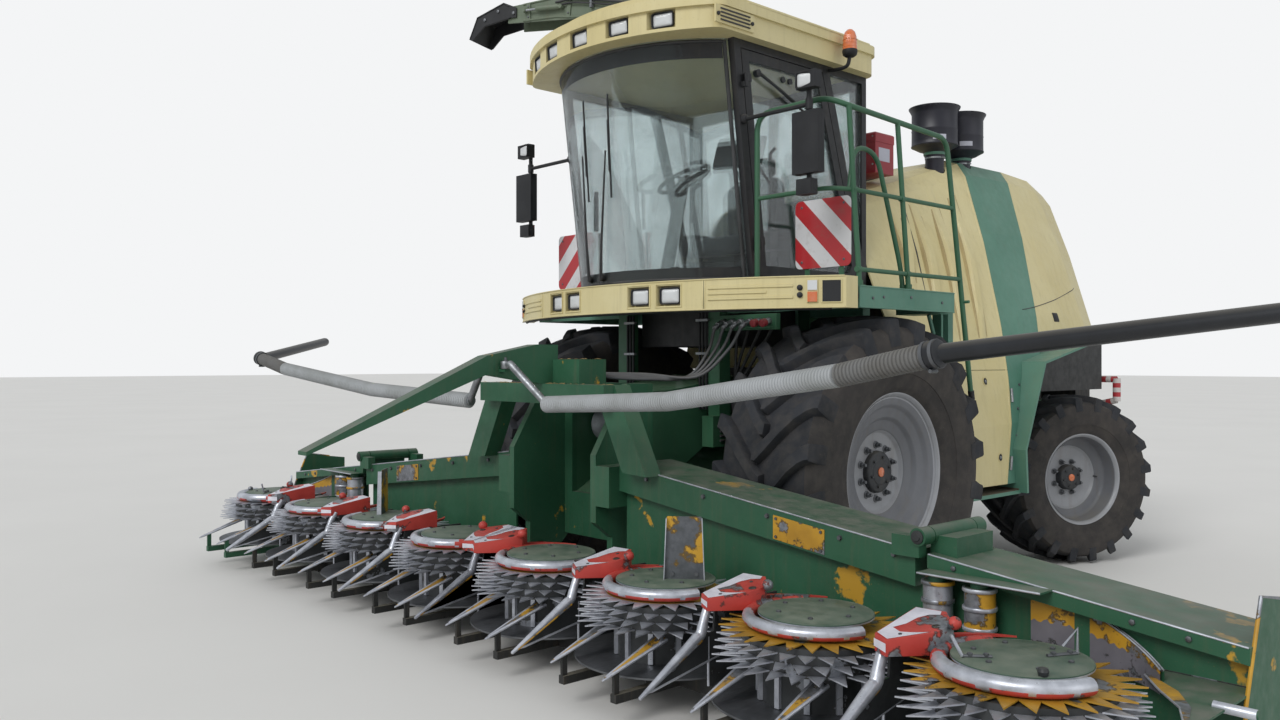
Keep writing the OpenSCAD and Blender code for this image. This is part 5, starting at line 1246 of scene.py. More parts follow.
def cabTrimShape():
    # Finishes: 0 black, 1 rubber, 2 cream, 3 bolts
    shape = newShape()
    # Rubber seal round the windscreen
    for z in (2.172, 3.622):
        addTube(shape, [screenPoint(-0.79 + 1.58 * k / 30, z, 0.002) for k in range(31)], 0.011, 1, 8)
    for s in (-1, 1):
        addTube(shape, [screenPoint(s * 0.79, z, 0.002) for z in (2.17, 2.9, 3.625)], 0.013, 1, 8)
    # Lower shade band of the windscreen, and the dark sun band inside the top
    for low, high in ((2.165, 2.245), (3.52, 3.63)):
        rings = []
        for k in range(31):
            x = -0.78 + 1.56 * k / 30
            rings.append([screenPoint(x, low, 0.001), screenPoint(x, high, 0.001),
                          screenPoint(x, high, 0.003), screenPoint(x, low, 0.003)])
        addLoft(shape, rings, 0)
    # Two long wipers that rise from the foot of the screen, and their thin washer hoses
    for foot, tip in ((-0.28, -0.2), (-0.12, 0.05)):
        pivot = screenPoint(foot, 2.21, 0.012)
        addTurned(shape, [(-0.015, 0.02), (0.02, 0.02), (0.026, 0.014)], pivot, (0, -1, 0.1), 0, 20)
        end = screenPoint(tip, 3.02, 0.03)
        addTube(shape, [pivot + Vector((0, -0.02, 0)), pivot.lerp(end, 0.3) + Vector((0, -0.02, 0)), end],
                [0.011, 0.008, 0.0055], 0, 8)
        blade = [screenPoint(tip + 0.02 - (0.45 - k) * 0.05, 2.72 + 0.65 * k, 0.013)
                 for k in (0, 0.25, 0.5, 0.75, 1)]
        addTube(shape, blade, 0.006, 0, 6)
        addTube(shape, [p + Vector((0, -0.01, 0)) for p in blade[1:4]], 0.004, 0, 6)
        addTube(shape, [pivot + Vector((0.02, -0.03, 0)), pivot.lerp(end, 0.5) + Vector((0.015, -0.03, 0)),
                        end], 0.003, 1, 6)
    # Vent grille on each side of the roof
    for s in (-1, 1):
        grille = [at(s * 0.93, -1.0, 3.66), at(s * 0.93, -0.66, 3.66), at(s * 0.93, -0.66, 3.765),
                  at(s * 0.93, -1.0, 3.765)]
        ring = [p + Vector((s * 0.012, 0, 0)) for p in grille]
        addLoft(shape, [grille, ring] if s < 0 else [ring, grille], 2)
        for k in range(4):
            z = 3.675 + 0.022 * k
            low, high = (0.938, 0.948) if s > 0 else (-0.948, -0.938)
            addBox(shape, at(low, -0.96, z), at(high, -0.70, z + 0.008), 1)
        for y in (-0.98, -0.68):
            addTurned(shape, [(0.01, 0.012), (0.02, 0.012), (0.022, 0.008)], at(s * 0.93, y, 3.71), (s, 0, 0),
                      0, 12)
    # Roof: rain rail and lifting eyes
    for s in (-1, 1):
        addTube(shape, [at(s * 0.944, -0.72, 3.832), at(s * 0.948, 0.0, 3.834), at(s * 0.944, 0.52, 3.832)],
                0.008, 2, 8)
        for y in (-0.4, 0.4):
            addTurned(shape, [(3.895, 0.02), (3.906, 0.02), (3.91, 0.014)], at(s * 0.55, y, 0), upward, 3, 12)
    addPlate(shape, [(-0.35, -0.25), (0.35, -0.25), (0.35, 0.25), (-0.35, 0.25)], at(0, 0.1, 3.9), leftward,
             rearward, 0.012, 2)
    # Ribs on the back wall
    for x in (-0.5, -0.17, 0.17, 0.5):
        addBox(shape, at(x - 0.03, 0.619, 2.2), at(x + 0.03, 0.626, 2.44), 0)
    # Floor mat and pedals
    addPlate(shape, [(-0.55, -0.75), (0.55, -0.75), (0.7, -0.4), (0.7, 0.45), (-0.7, 0.45), (-0.7, -0.4)],
             at(0, 0, 2.16), leftward, rearward, 0.008, 1)
    for x in (-0.2, 0.12, 0.24):
        addBox(shape, at(x - 0.035, -0.66, 2.19), at(x + 0.035, -0.64, 2.28), 0)
        addTube(shape, [at(x, -0.64, 2.24), at(x, -0.6, 2.165)], 0.009, 0, 8)
    # Console with its screens beside the seat
    addPlate(shape, [(0.02, 2.17), (0.42, 2.17), (0.44, 2.72), (0.0, 2.78)], at(0.29, 0, 0), rearward, upward,
             0.2, 0)
    addTube(shape, [at(0.4, -0.02, 2.74), at(0.42, -0.3, 2.98)], 0.013, 0, 10)
    addPlate(shape, [(-0.12, -0.09), (0.12, -0.09), (0.12, 0.09), (-0.12, 0.09)], at(0.44, -0.31, 3.03),
             (0.9, 0.3, 0), (0, 0.3, 1), 0.035, 0)
    addTube(shape, [at(0.36, 0.08, 2.76), at(0.35, 0.05, 2.87)], [0.014, 0.012], 0, 12)
    addTurned(shape, [(0, 0.012), (0.015, 0.026), (0.05, 0.03), (0.075, 0.018)], at(0.35, 0.05, 2.86),
              (0, -0.2, 1), 0, 20)
    # Small display at the screen's right edge
    addPlate(shape, [(-0.045, -0.14), (0.045, -0.14), (0.045, 0.14), (-0.045, 0.14)], at(-0.66, -0.56, 2.75),
             (0.8, -0.6, 0), upward, 0.03, 0)
    addTube(shape, [at(-0.68, -0.53, 2.6), at(-0.71, -0.5, 2.2)], 0.01, 0, 8)
    return shape


makePiece("cabTrim", cabTrimShape(), ["cabEnamel", "hoseRubber", "creamEnamel", "darkBolt"], "chassis",
          sharp=40)


def doorTrimShape():
    shape = newShape()
    x = 0.845
    # Handle on its plate, inner pull, and the wiper with its two knobs
    addPlate(shape, [(0.28, 2.42), (0.42, 2.42), (0.42, 2.5), (0.28, 2.5)], at(x, 0, 0), rearward, upward,
             0.012, 0)
    addTube(shape, [at(x + 0.01, 0.3, 2.46), at(x + 0.04, 0.31, 2.46), at(x + 0.04, 0.39, 2.46),
                    at(x + 0.01, 0.4, 2.46)], 0.009, 0, 10)
    addTube(shape, [at(x - 0.045, -0.3, 2.5), at(x - 0.085, -0.3, 2.53), at(x - 0.085, -0.3, 3.0),
                    at(x - 0.045, -0.3, 3.03)], 0.012, 0, 10)
    hub = at(x - 0.017, -0.52, 3.46)
    addTurned(shape, [(0, 0.024), (0.03, 0.024), (0.036, 0.014)], hub, leftward, 0, 20)
    addTube(shape, [hub + Vector((0.03, 0, 0)), at(x + 0.022, -0.28, 3.37), at(x + 0.016, -0.16, 3.33)],
            [0.011, 0.009, 0.006], 0, 8)
    addTube(shape, [at(x + 0.004, -0.36, 3.41), at(x + 0.006, -0.13, 3.315), at(x + 0.004, 0.08, 3.23)],
            0.008, 0, 6)
    for y in (-0.26, -0.19):
        addTurned(shape, [(-0.004, 0.02), (0.012, 0.02), (0.014, 0.014)], at(x - 0.018, y, 3.47), leftward, 0,
                  16)
    return shape


makePiece("doorTrim", doorTrimShape(), ["cabEnamel"], "cab_door", sharp=40)


def seatShape():
    # Suspension base, deep cushion and backrest with their bolsters, head cushion, armrest
    shape = newShape()

    def cushion(low, high, soft, finish=0, axis=2):
        # A box whose edges are drawn in, in rounded rings along one axis
        a, b = Vector(low), Vector(high)
        half = (b - a) / 2
        centre = (a + b) / 2
        ends = [0, 1, 2]
        ends.remove(axis)
        rings = []
        for share in (-1, -0.93, -0.72, -0.3, 0.3, 0.72, 0.93, 1):
            inset = soft * (1 - math.sqrt(max(0, 1 - max(0, (abs(share) - 0.6) / 0.4) ** 2)))
            ring = []
            for t in around(24):
                c, s = math.cos(t), math.sin(t)
                u = math.copysign(abs(c) ** 0.35, c) * (half[ends[0]] - inset)
                v = math.copysign(abs(s) ** 0.35, s) * (half[ends[1]] - inset)
                spot = Vector((0, 0, 0))
                spot[ends[0]], spot[ends[1]], spot[axis] = u, v, share * half[axis]
                ring.append(centre + spot)
            rings.append(ring if axis != 1 else ring[::-1])
        addLoft(shape, rings, finish)

    cushion(at(-0.26, -0.02, 2.42), at(0.26, 0.47, 2.555), 0.05)
    cushion(at(-0.235, 0.385, 2.55), at(0.235, 0.495, 3.02), 0.05, 0, 1)
    cushion(at(-0.15, 0.4, 3.025), at(0.15, 0.49, 3.165), 0.04, 0, 1)
    cushion(at(0.185, 0.01, 2.69), at(0.255, 0.36, 2.74), 0.02)
    for s in (-1, 1):
        cushion(at(s * 0.215 - 0.035, 0.02, 2.5), at(s * 0.215 + 0.035, 0.4, 2.585), 0.03)
        cushion(at(s * 0.2 - 0.03, 0.355, 2.6), at(s * 0.2 + 0.03, 0.45, 2.98), 0.025)
    return shape


seatPiece = makePiece("seatCushion", seatShape(), ["seatCloth"], "chassis", ("seat",),
                      sharp=80)
seatBase = newShape()
addBox(seatBase, at(-0.18, 0.06, 2.16), at(0.18, 0.38, 2.2), 0)
for k in range(5):
    grow = 0.012 * (k % 2)
    addBox(seatBase, at(-0.165 - grow, 0.075 - grow, 2.2 + 0.044 * k),
           at(0.165 + grow, 0.365 + grow, 2.244 + 0.044 * k), 1)
addBox(seatBase, at(0.19, 0.05, 2.56), at(0.225, 0.12, 2.7), 0)
makePiece("seatBase", seatBase, ["cabEnamel", "hoseRubber"], "chassis", bevel=0.005)
print("stage: cab made")

mirrorLook = {"glasses": (((1.28, 1.47), (2.74, 3.1)), ((1.31, 1.42), (2.62, 2.71))), "glassY": -0.657,
              "armX": 1.36, "armY": -0.655, "armZ": 3.15, "cabX": 0.85}


def mirrorShape(s):
    # Two shells with their glasses, the clamps on the post, and the arm's ends
    shape = newShape()
    look = mirrorLook
    for (x0, x1), (z0, z1) in look["glasses"]:
        centre = at(s * (x0 + x1) / 2, look["glassY"], (z0 + z1) / 2)
        wide, high = x1 - x0 + 0.004, z1 - z0 + 0.004
        shell = [(0.0, 0.98, 0.98), (0.012, 1, 1), (0.04, 0.97, 0.97), (0.058, 0.82, 0.9), (0.0605, 0.6, 0.7)]
        addLoft(shape, [roundedRing(centre + Vector((0, -d, 0)), forward, wide * w, high * h, 0.03 * h)
                        for d, w, h in shell], 0)
        addLoft(shape, [roundedRing(centre + Vector((0, d, 0)), rearward, wide * w, high * w, 0.024)
                        for d, w in ((0.0, 0.93), (0.002, 0.92))], 1)
    for z in (2.83, 3.02):
        addBox(shape, at(s * look["armX"] - 0.03, -0.682, z), at(s * look["armX"] + 0.03, -0.636, z + 0.03),
               0)
    addTurned(shape, [(-0.03, 0.022), (0.03, 0.022)], at(s * look["armX"], look["armY"], look["armZ"]),
              upward, 0, 16)
    addTurned(shape, [(0, 0.03), (0.02, 0.03), (0.03, 0.018)],
              at(s * look["cabX"], look["armY"], look["armZ"]), (s, 0, 0), 0, 16)
    return shape


for s, name in ((1, "Left"), (-1, "Right")):
    makePiece("mirror%s" % name, mirrorShape(s), ["blackPlastic", "mirrorGlass"], "chassis",
              sharp=40)

beaconSpot = at(1.02, 0.2, 0)
beacon = newShape()
addTube(beacon, smoothRoute([at(0.84, 0.2, 3.615), at(0.93, 0.2, 3.606), at(1.0, 0.2, 3.617),
                             at(1.02, 0.2, 3.68)], 6), 0.0125, 0, 12)
addTurned(beacon, [(3.668, 0.03), (3.68, 0.046), (3.705, 0.051), (3.714, 0.049)], beaconSpot, upward, 0, 40)
addTurned(beacon, [(3.71, 0.0475), (3.76, 0.0465), (3.8, 0.0435), (3.83, 0.034), (3.847, 0.018),
                   (3.849, 0.004)], beaconSpot, upward, 1, 48)
addTurned(beacon, [(3.71, 0.026), (3.77, 0.026), (3.79, 0.018)], beaconSpot, upward, 2, 24)
for z in (3.728, 3.752, 3.776):
    addTurned(beacon, [(z, 0.0468), (z + 0.003, 0.0485), (z + 0.006, 0.0468)], beaconSpot, upward, 1, 48,
              False)
makePiece("beaconLamp", beacon, ["blackPlastic", "amberLens", "redLens"], "chassis",
          ("beacon",), sharp=50)
print("stage: mirrors and beacon made")

# Body

hoodLook = {
    "low": 0.75, "high": 3.34,
    "stations": [(0.64, 0.95, 2.86), (2.3, 1.0, 3.34), (3.0, 0.99, 3.35), (3.5, 0.95, 3.335),
                 (3.9, 0.86, 3.25)],
    "section": [(1.33, 0.75), (1.31, 1.22), (1.24, 1.58), (1.12, 2.02), (0.885, 2.69), (0.67, 3.19),
                (0.58, 3.3), (0.45, 3.34)],
    "slope": 0.2075, "fluteWide": 0.1, "fluteHigh": 0.045,
}


def hoodPoint(y, z):
    # The hood's half width at y and z, and the direction out of it
    stations = hoodLook["stations"]
    y = max(stations[0][0], min(stations[-1][0], y))
    for a, b in zip(stations[:-1], stations[1:]):
        if y <= b[0]:
            break
    t = (y - a[0]) / (b[0] - a[0])
    share, top = a[1] + (b[1] - a[1]) * t, a[2] + (b[2] - a[2]) * t
    tall = (top - hoodLook["low"]) / (hoodLook["high"] - hoodLook["low"])
    section = [(x * share, hoodLook["low"] + (h - hoodLook["low"]) * tall) for x, h in hoodLook["section"]]
    for (x0, z0), (x1, z1) in zip(section[:-1], section[1:]):
        if z <= z1:
            break
    x = x0 + (x1 - x0) * (z - z0) / (z1 - z0)
    return x, Vector((z1 - z0, 0, x0 - x1)).normalized()


def onHood(s, y, z, out=0.0):
    x, away = hoodPoint(y, z)
    spot = at(x, y, z) + away * out
    return Vector((s * spot.x, spot.y, spot.z))


def addHoodStrip(shape, s, route, wide, high, finish):
    # A raised strip whose middle runs through places (y, z) on the hood
    rings = []
    for n, (y, z) in enumerate(route):
        lift = high * min(1, 2.2 * n / len(route) + 0.05, 2.2 * (len(route) - 1 - n) / len(route) + 0.05)
        ring = [onHood(s, y + d * wide / 2, z, out) for d, out in ((-1, -0.004), (-1, 0), (-0.6, lift),
                                                                   (0.6, lift), (1, 0), (1, -0.004))]
        rings.append(ring)
    addLoft(shape, handed(rings, s), finish)


def leaning(y, z):
    # The hood's seams and flutes lean back with height
    return y + hoodLook["slope"] * (z - hoodLook["low"])


def bodyTrimShape():
    # Finishes: 0 cream, 1 seal, 2 dark, 3 lock steel, 4 bolts, 5 soil and painted shade in folds
    shape = newShape()
    for s in (-1, 1):
        for start, low, high in ((0.76, 2.16, 2.8), (1.0, 1.86, 2.94), (1.24, 1.72, 3.04),
                                 (1.48, 1.72, 3.12)):
            zs = [low + (high - low) * k / 22 for k in range(23)]
            addHoodStrip(shape, s, [(leaning(start, z), z) for z in zs], hoodLook["fluteWide"],
                         hoodLook["fluteHigh"], 0)
            # Soil and painted shade in the two folds of the flute: darker cream strips
            for side, wide in ((-0.05, 0.024), (0.05, 0.012)):
                addHoodStrip(shape, s, [(leaning(start + side, z), z) for z in zs[1:-1]], wide, 0.022, 5)
        # Rubber seal in the seam between the two upper panels
        zs = [1.8 + 1.02 * k / 20 for k in range(21)]
        addTube(shape, [onHood(s, leaning(0.885, z), z, 0.001) for z in zs], 0.006, 1, 8)
        # Edge folds beside the green band
        zs = [0.8 + 2.45 * k / 30 for k in range(31)]
        addTube(shape, [onHood(s, leaning(1.722, z), z, -0.001) for z in zs], 0.006, 0, 8)
        # Locks in their dished holes, one for each lower door and upper panel
        for y, z in ((1.5875, 1.509), (1.66, 0.95), (1.2, 1.509)):
            spot, away = onHood(s, y, z), hoodPoint(y, z)[1]
            away.x *= s
            addTurned(shape, [(-0.01, 0.034), (0.0025, 0.034), (0.004, 0.031), (0.001, 0.026)], spot, away, 0,
                      32)
            addTurned(shape, [(-0.001, 0.0255), (0.0014, 0.0255)], spot, away, 2, 24)
            addTurned(shape, [(0.001, 0.012), (0.005, 0.011), (0.006, 0.007)], spot, away, 3, 16)
        # Seam across the rear hood, its pull below, and hinges on the band
        route = [onHood(s, 2.36 + 1.25 * k / 30, 2.07 + 0.24 * (k / 30) ** 1.25, 0.0) for k in range(31)]
        addTube(shape, route, 0.0035, 1, 6)
        grip = [onHood(s, y, z, 0.001) for y, z in ((2.86, 1.985), (2.95, 1.985), (2.95, 2.06), (2.86, 2.06))]
        rim = [onHood(s, y, z, 0.009) for y, z in ((2.87, 1.995), (2.94, 1.995), (2.94, 2.05), (2.87, 2.05))]
        addLoft(shape, handed([grip, rim], s), 2)
        for z in (0.9, 1.4):
            y = leaning(1.747, z)
            addTube(shape, [onHood(s, y, z - 0.05, 0.008),
                            onHood(s, y + hoodLook["slope"] * 0.1, z + 0.05, 0.008)], 0.011, 3, 10)
        # Air slots low on the lower door's front
        for k in range(6):
            z = 1.0 + 0.045 * k
            addHoodStrip(shape, s, [(1.14 + 0.16 * n / 6, z + 0.002) for n in range(7)], 0.012, 0.006, 2)
        # Bolts along the green band's lower end and the arch's edge
        for y, z in ((1.89, 1.1), (1.95, 1.3), (2.03, 1.48)):
            addTurned(shape, [(0, 0.011), (0.007, 0.011), (0.009, 0.007)], onHood(s, y, z), (s, 0, 0), 4, 6)
    return shape


makePiece("bodyTrim", bodyTrimShape(), ["creamEnamel", "hoseRubber", "blackPlastic", "zincSteel", "darkBolt",
                                        "foldShade"], "chassis", sharp=45)


intakeLook = {"x": 0.53, "ys": (2.01, 2.41)}


def intakeShape():
    # Finishes: 0 black plastic, 1 pale label, 2 green collar, 3 bright screws
    shape = newShape()
    for y in intakeLook["ys"]:
        centre = at(intakeLook["x"], y, 0)
        addTurned(shape, [(3.1, 0.074), (3.3, 0.074), (3.32, 0.08), (3.335, 0.08)], centre, upward, 0, 48,
                  False)
        addTurned(shape, [(3.33, 0.086), (3.338, 0.088), (3.35, 0.088), (3.358, 0.086)], centre, upward, 2,
                  48)
        profile = [(3.345, 0.081), (3.362, 0.1), (3.37, 0.128), (3.392, 0.168), (3.4, 0.185), (3.406, 0.186),
                   (3.412, 0.182), (3.44, 0.1815), (3.52, 0.181), (3.528, 0.1835), (3.534, 0.181),
                   (3.66, 0.181), (3.672, 0.184), (3.69, 0.193), (3.706, 0.203), (3.7125, 0.2045),
                   (3.714, 0.203), (3.708, 0.198), (3.69, 0.185), (3.685, 0.16), (3.688, 0.08),
                   (3.695, 0.001)]
        addTurned(shape, profile, centre, upward, 0, 80, False)
        addTurned(shape, [(3.685, 0.07), (3.7, 0.06), (3.7, 0.03)], centre, upward, 0, 32)
        # Band clamp and its screw, blank pale label on the side
        addTurned(shape, [(3.3, 0.0745), (3.3, 0.0775), (3.315, 0.0775), (3.315, 0.0745)], centre, upward, 3,
                  48, False)
        addTube(shape, [centre + Vector((0.078, -0.02, 3.307)), centre + Vector((0.082, 0.02, 3.307))], 0.006,
                3, 8)
        label = []
        for k in range(7):
            a = math.radians(-62 + 5.5 * k)
            label.append([centre + polar(r, a, z) for r, z in ((0.1815, 3.43), (0.1832, 3.431),
                                                               (0.1832, 3.468), (0.1815, 3.469))])
        addLoft(shape, label, 1)
        for a in around(8):
            # Blocks under the rain cap's rim
            ends = ((-0.006, 3.684), (0.006, 3.694))
            corners = [centre + Vector((0.155 * math.cos(a) + d, 0.155 * math.sin(a) + d, z))
                       for d, z in ends]
            addBox(shape, *corners, 0)
    return shape


makePiece("airIntakes", intakeShape(), ["intakePlastic", "paleLabel", "bodyGreenEnamel", "zincSteel"],
          "chassis", ("air_intakes",), sharp=42)


def hoodTop(y):
    return 2.86 + 0.48 * (y - 0.64) / 1.66


fireLook = {"bottleX": 0.5, "bottleEnds": (0.69, 1.03), "bottleLift": 0.09, "boxLow": (0.34, 1.06),
            "boxHigh": (0.62, 1.29)}


def fireShape():
    # Finishes: 0 red, 1 black, 2 bright, 3 pale label
    shape = newShape()
    start, end = (at(fireLook["bottleX"], y, hoodTop(y) + fireLook["bottleLift"])
                  for y in fireLook["bottleEnds"])
    length = (end - start).length
    profile = [(0.001, 0.02), (0.004, 0.045), (0.02, 0.07), (0.045, 0.079), (length - 0.045, 0.079),
               (length - 0.02, 0.07), (length - 0.004, 0.045), (length - 0.001, 0.02)]
    addTurned(shape, profile, start, end - start, 0, 48)
    for share in (0.24, 0.7):
        addTurned(shape, [(length * share, 0.0795), (length * share, 0.0825),
                          (length * share + 0.028, 0.0825), (length * share + 0.028, 0.0795)], start,
                  end - start, 1, 48, False)
    # Cabinet with its folded lid, hinge, catch and screws
    low, high = fireLook["boxLow"], fireLook["boxHigh"]
    body = []
    for z, grow in ((hoodTop(1.29) + 0.02, 0.002), (3.3, 0.002), (3.3, 0.006), (3.362, 0.006),
                    (3.3715, -0.003)):
        body.append([at(low[0] - grow, low[1] - grow, z), at(high[0] + grow, low[1] - grow, z),
                     at(high[0] + grow, high[1] + grow, z), at(low[0] - grow, high[1] + grow, z)])
    addLoft(shape, body, 0)
    addTube(shape, [at(0.38, 1.297, 3.305), at(0.58, 1.297, 3.305)], 0.007, 2, 8)
    addBox(shape, at(0.46, 1.047, 3.255), at(0.5, 1.058, 3.325), 2)
    for x in (0.36, 0.6):
        for z in (3.13, 3.34):
            addTurned(shape, [(0, 0.007), (0.004, 0.007)], at(x, 1.0545, z), forward, 2, 8)
    addPlate(shape, [(1.1, 3.16), (1.24, 3.16), (1.24, 3.26), (1.1, 3.26)], at(0.6215, 0, 0), rearward,
             upward, 0.0015, 3)
    # Cradle that holds the bottle on the cover
    for y in (0.76, 0.93):
        addBox(shape, at(0.47, y, hoodTop(y) - 0.02), at(0.53, y + 0.03, hoodTop(y) + 0.03), 1)
    return shape


makePiece("fireGear", fireShape(), ["redEnamel", "blackPlastic", "zincSteel", "paleLabel"], "chassis",
          ("tool_box",), sharp=40)

railLook = {"x": 1.5, "radius": 0.017, "bend": 0.11, "deckZ": 2.1, "ladder": ((0.61, 2.96), (0.895, 1.41))}


def bentRoute(points, bend):
    # Straight stretches with a round bend at each corner
    points = [Vector(p) for p in points]
    route = [points[0]]
    for before, corner, after in zip(points, points[1:], points[2:]):
        reach = min(bend, (corner - before).length / 2.05, (after - corner).length / 2.05)
        a = corner + (before - corner).normalized() * reach
        b = corner + (after - corner).normalized() * reach
        route += [a.lerp(corner, t).lerp(corner.lerp(b, t), t) for t in (0, 0.2, 0.4, 0.6, 0.8, 1)]
    return route + [points[-1]]


def railShape():
    # Finishes: 0 green tube, 1 black foot
    shape = newShape()
    look = railLook
    x, radius, deck = look["x"], look["radius"], look["deckZ"]
    (topY, topZ), (footY, footZ) = look["ladder"]

    def ladderY(z):
        return topY + (footY - topY) * (topZ - z) / (topZ - footZ)

    tubes = [
        # Front hoop, from the deck's edge up, across and back along the top to the ladder's foot
        ([(0.9, -0.43, 2.035), (0.9, -0.585, 2.035), (0.9, -0.585, 3.18), (1.4, -0.55, 3.2), (x, -0.47, 3.15),
          (x, 0.585, 3.105), (x, topY + 0.01, topZ - 0.05), (x, footY, footZ)], radius),
        ([(x, -0.465, 3.15), (x, -0.36, deck)], radius - 0.001),
        ([(x, 0.03, 3.13), (x, 0.15, deck)], radius - 0.001),
        ([(0.9, -0.585, 2.66), (1.42, -0.555, 2.67), (x, -0.41, 2.665), (x, ladderY(2.66), 2.66)],
         radius - 0.003),
        ([(x, -0.366, 2.2), (x, ladderY(2.2), 2.2)], radius - 0.003),
        # Grab rail beside the door
        ([(x - 0.04, 0.15, deck), (x - 0.04, 0.12, 2.25), (x - 0.04, -0.13, 2.92), (x - 0.04, -0.36, 2.94),
          (x - 0.03, -0.42, 2.665)], radius - 0.002),
        # Brace to the step's side
        ([(x, ladderY(2.05), 2.05), (1.552, ladderY(2.05), 2.05)], 0.01)]
    for points, tube in tubes:
        addTube(shape, bentRoute([at(*p) for p in points], look["bend"]), tube, 0, 16)
    for u, y in ((x, -0.36), (x, 0.15), (x - 0.04, 0.15)):
        addTurned(shape, [(0, 0.034), (0.008, 0.034), (0.01, 0.021), (0.035, 0.021)], at(u, y, deck), upward,
                  0, 24)
    addTurned(shape, [(0, 0.034), (0.008, 0.034), (0.01, 0.021), (0.03, 0.02)], at(0.9, -0.43, 2.035),
              forward, 0, 24)
    for u, y, z in ((x, -0.41, 2.665), (x, 0.083, 2.66), (x, -0.369, 2.2), (x, 0.14, 2.2)):
        addTurned(shape, [(-0.02, 0.0185), (0.02, 0.0185)], at(u, y, z), rearward, 0, 16)
    addTurned(shape, [(-0.03, 0.021), (0.03, 0.021)], at(x, footY, footZ + 0.02), (0, -0.19, 1), 1, 16)
    return shape


makePiece("platformRail", railShape(), ["railGreenEnamel", "blackPlastic"], "chassis",
          ("handrails",), sharp=50)
print("stage: body made")

deckLook = {"columns": 9, "rows": 14, "first": (0.92, -0.37), "step": (0.07, 0.068), "edgeX": 1.5495,
            "edgeY": -0.4295}


def platformShape():
    # Finishes: 0 green, 1 tread, 2 bolts
    shape = newShape()
    for s in (-1, 1):
        # Punched tread on the deck: rows of raised rings
        for i in range(deckLook["columns"]):
            for j in range(deckLook["rows"]):
                x = deckLook["first"][0] + deckLook["step"][0] * i + 0.03 * (j % 2)
                y = deckLook["first"][1] + deckLook["step"][1] * j
                addTurned(shape, [(2.0995, 0.018), (2.104, 0.014), (2.104, 0.009), (2.0995, 0.008)],
                          at(s * x, y, 0), upward, 1, 8, False)
        # Folded edges and the seam of the deck's side plate
        for z in (1.974, 2.097):
            addTube(shape, [at(s * deckLook["edgeX"], y, z) for y in (-0.425, 0.598)], 0.0045, 0, 8)
        addTube(shape, [at(s * x, deckLook["edgeY"], 2.097) for x in (0.86, 1.548)], 0.0045, 0, 8)
        for y, z in ((-0.19, 2.04), (-0.3, 2.03), (0.1, 2.05), (0.45, 2.03)):
            addTurned(shape, [(0, 0.009), (0.006, 0.009), (0.008, 0.006)], at(s * 1.55, y, z), (s, 0, 0), 2,
                      6)
        # Upright straps of the ladder below the landing, and the landing's tread lines
        for y in (0.68, 0.78):
            addPlate(shape, [(0, 0), (0.02, 0), (0.02, 0.35), (0, 0.35)], at(s * 1.4, y, 1.62), rearward,
                     upward, 0.006, 0)
        for k in range(8):
            y = 0.64 + 0.02 * k
            addTube(shape, [at(s * 1.14, y, 2.103), at(s * 1.4, y, 2.103)], 0.0035, 1, 6)
        # Brace from the ladder up to the landing
        addTube(shape, [at(s * 1.36, 0.74, 1.66), at(s * 1.36, 0.6, 1.965)], 0.014, 0, 12)
    return shape


makePiece("platformTrim", platformShape(), ["bodyGreenEnamel", "zincSteel", "darkBolt"], "chassis",
          sharp=40)


warningLook = {"spot": (1.2085, -0.331, 2.4415), "size": 0.4225, "corner": 0.035, "postX": (1.08, 1.34)}


def warningShape():
    # Finishes: 0 striped sheet, 1 green back and posts, 2 screws
    shape = newShape()
    size, corner = warningLook["size"], warningLook["corner"]
    for s in (-1, 1):
        x, y, z = warningLook["spot"]
        centre = at(s * x, y, z)
        rings = [(0.001, 0.997), (-0.0035, 1.0), (-0.0045, 0.996)]
        addLoft(shape, [roundedRing(centre + Vector((0, d, 0)), forward, size * w, size * w, corner)
                        for d, w in rings], 0)
        addLoft(shape, [roundedRing(centre + Vector((0, d, 0)), rearward, size * w, size * w, corner)
                        for d, w in ((0.0045, 0.996), (0.006, 0.99))], 1)
        for u in (-0.16, 0.16):
            for v in (-0.17, 0.17):
                addTurned(shape, [(0, 0.008), (0.003, 0.008), (0.0045, 0.005)],
                          centre + Vector((u, -0.0045, v)), forward, 2, 12)
        for x in warningLook["postX"]:
            addBox(shape, at(s * x - 0.0155, -0.3265, 2.1005), at(s * x + 0.0155, -0.3135, 2.6005), 1)
            addBox(shape, at(s * x - 0.03, -0.3275, 2.1), at(s * x + 0.03, -0.29, 2.107), 1)
    return shape


makePiece("warningPlates", warningShape(), ["warningSheet", "railGreenEnamel", "darkBolt"], "chassis",
          ("warning_plates",), sharp=40)
print("stage: platforms made")

# Spout, couplings and rear

spoutLook = {"turn": 22, "axisY": 1.5, "ringZ": 3.13, "half": 0.145}


def onSpout(along, across, up):
    # A place in the arm's own directions: outward, sideways, up from the ring
    a = math.radians(180 + spoutLook["turn"])
    return at(along * math.cos(a) - across * math.sin(a),
              spoutLook["axisY"] + along * math.sin(a) + across * math.cos(a), spoutLook["ringZ"] + up)


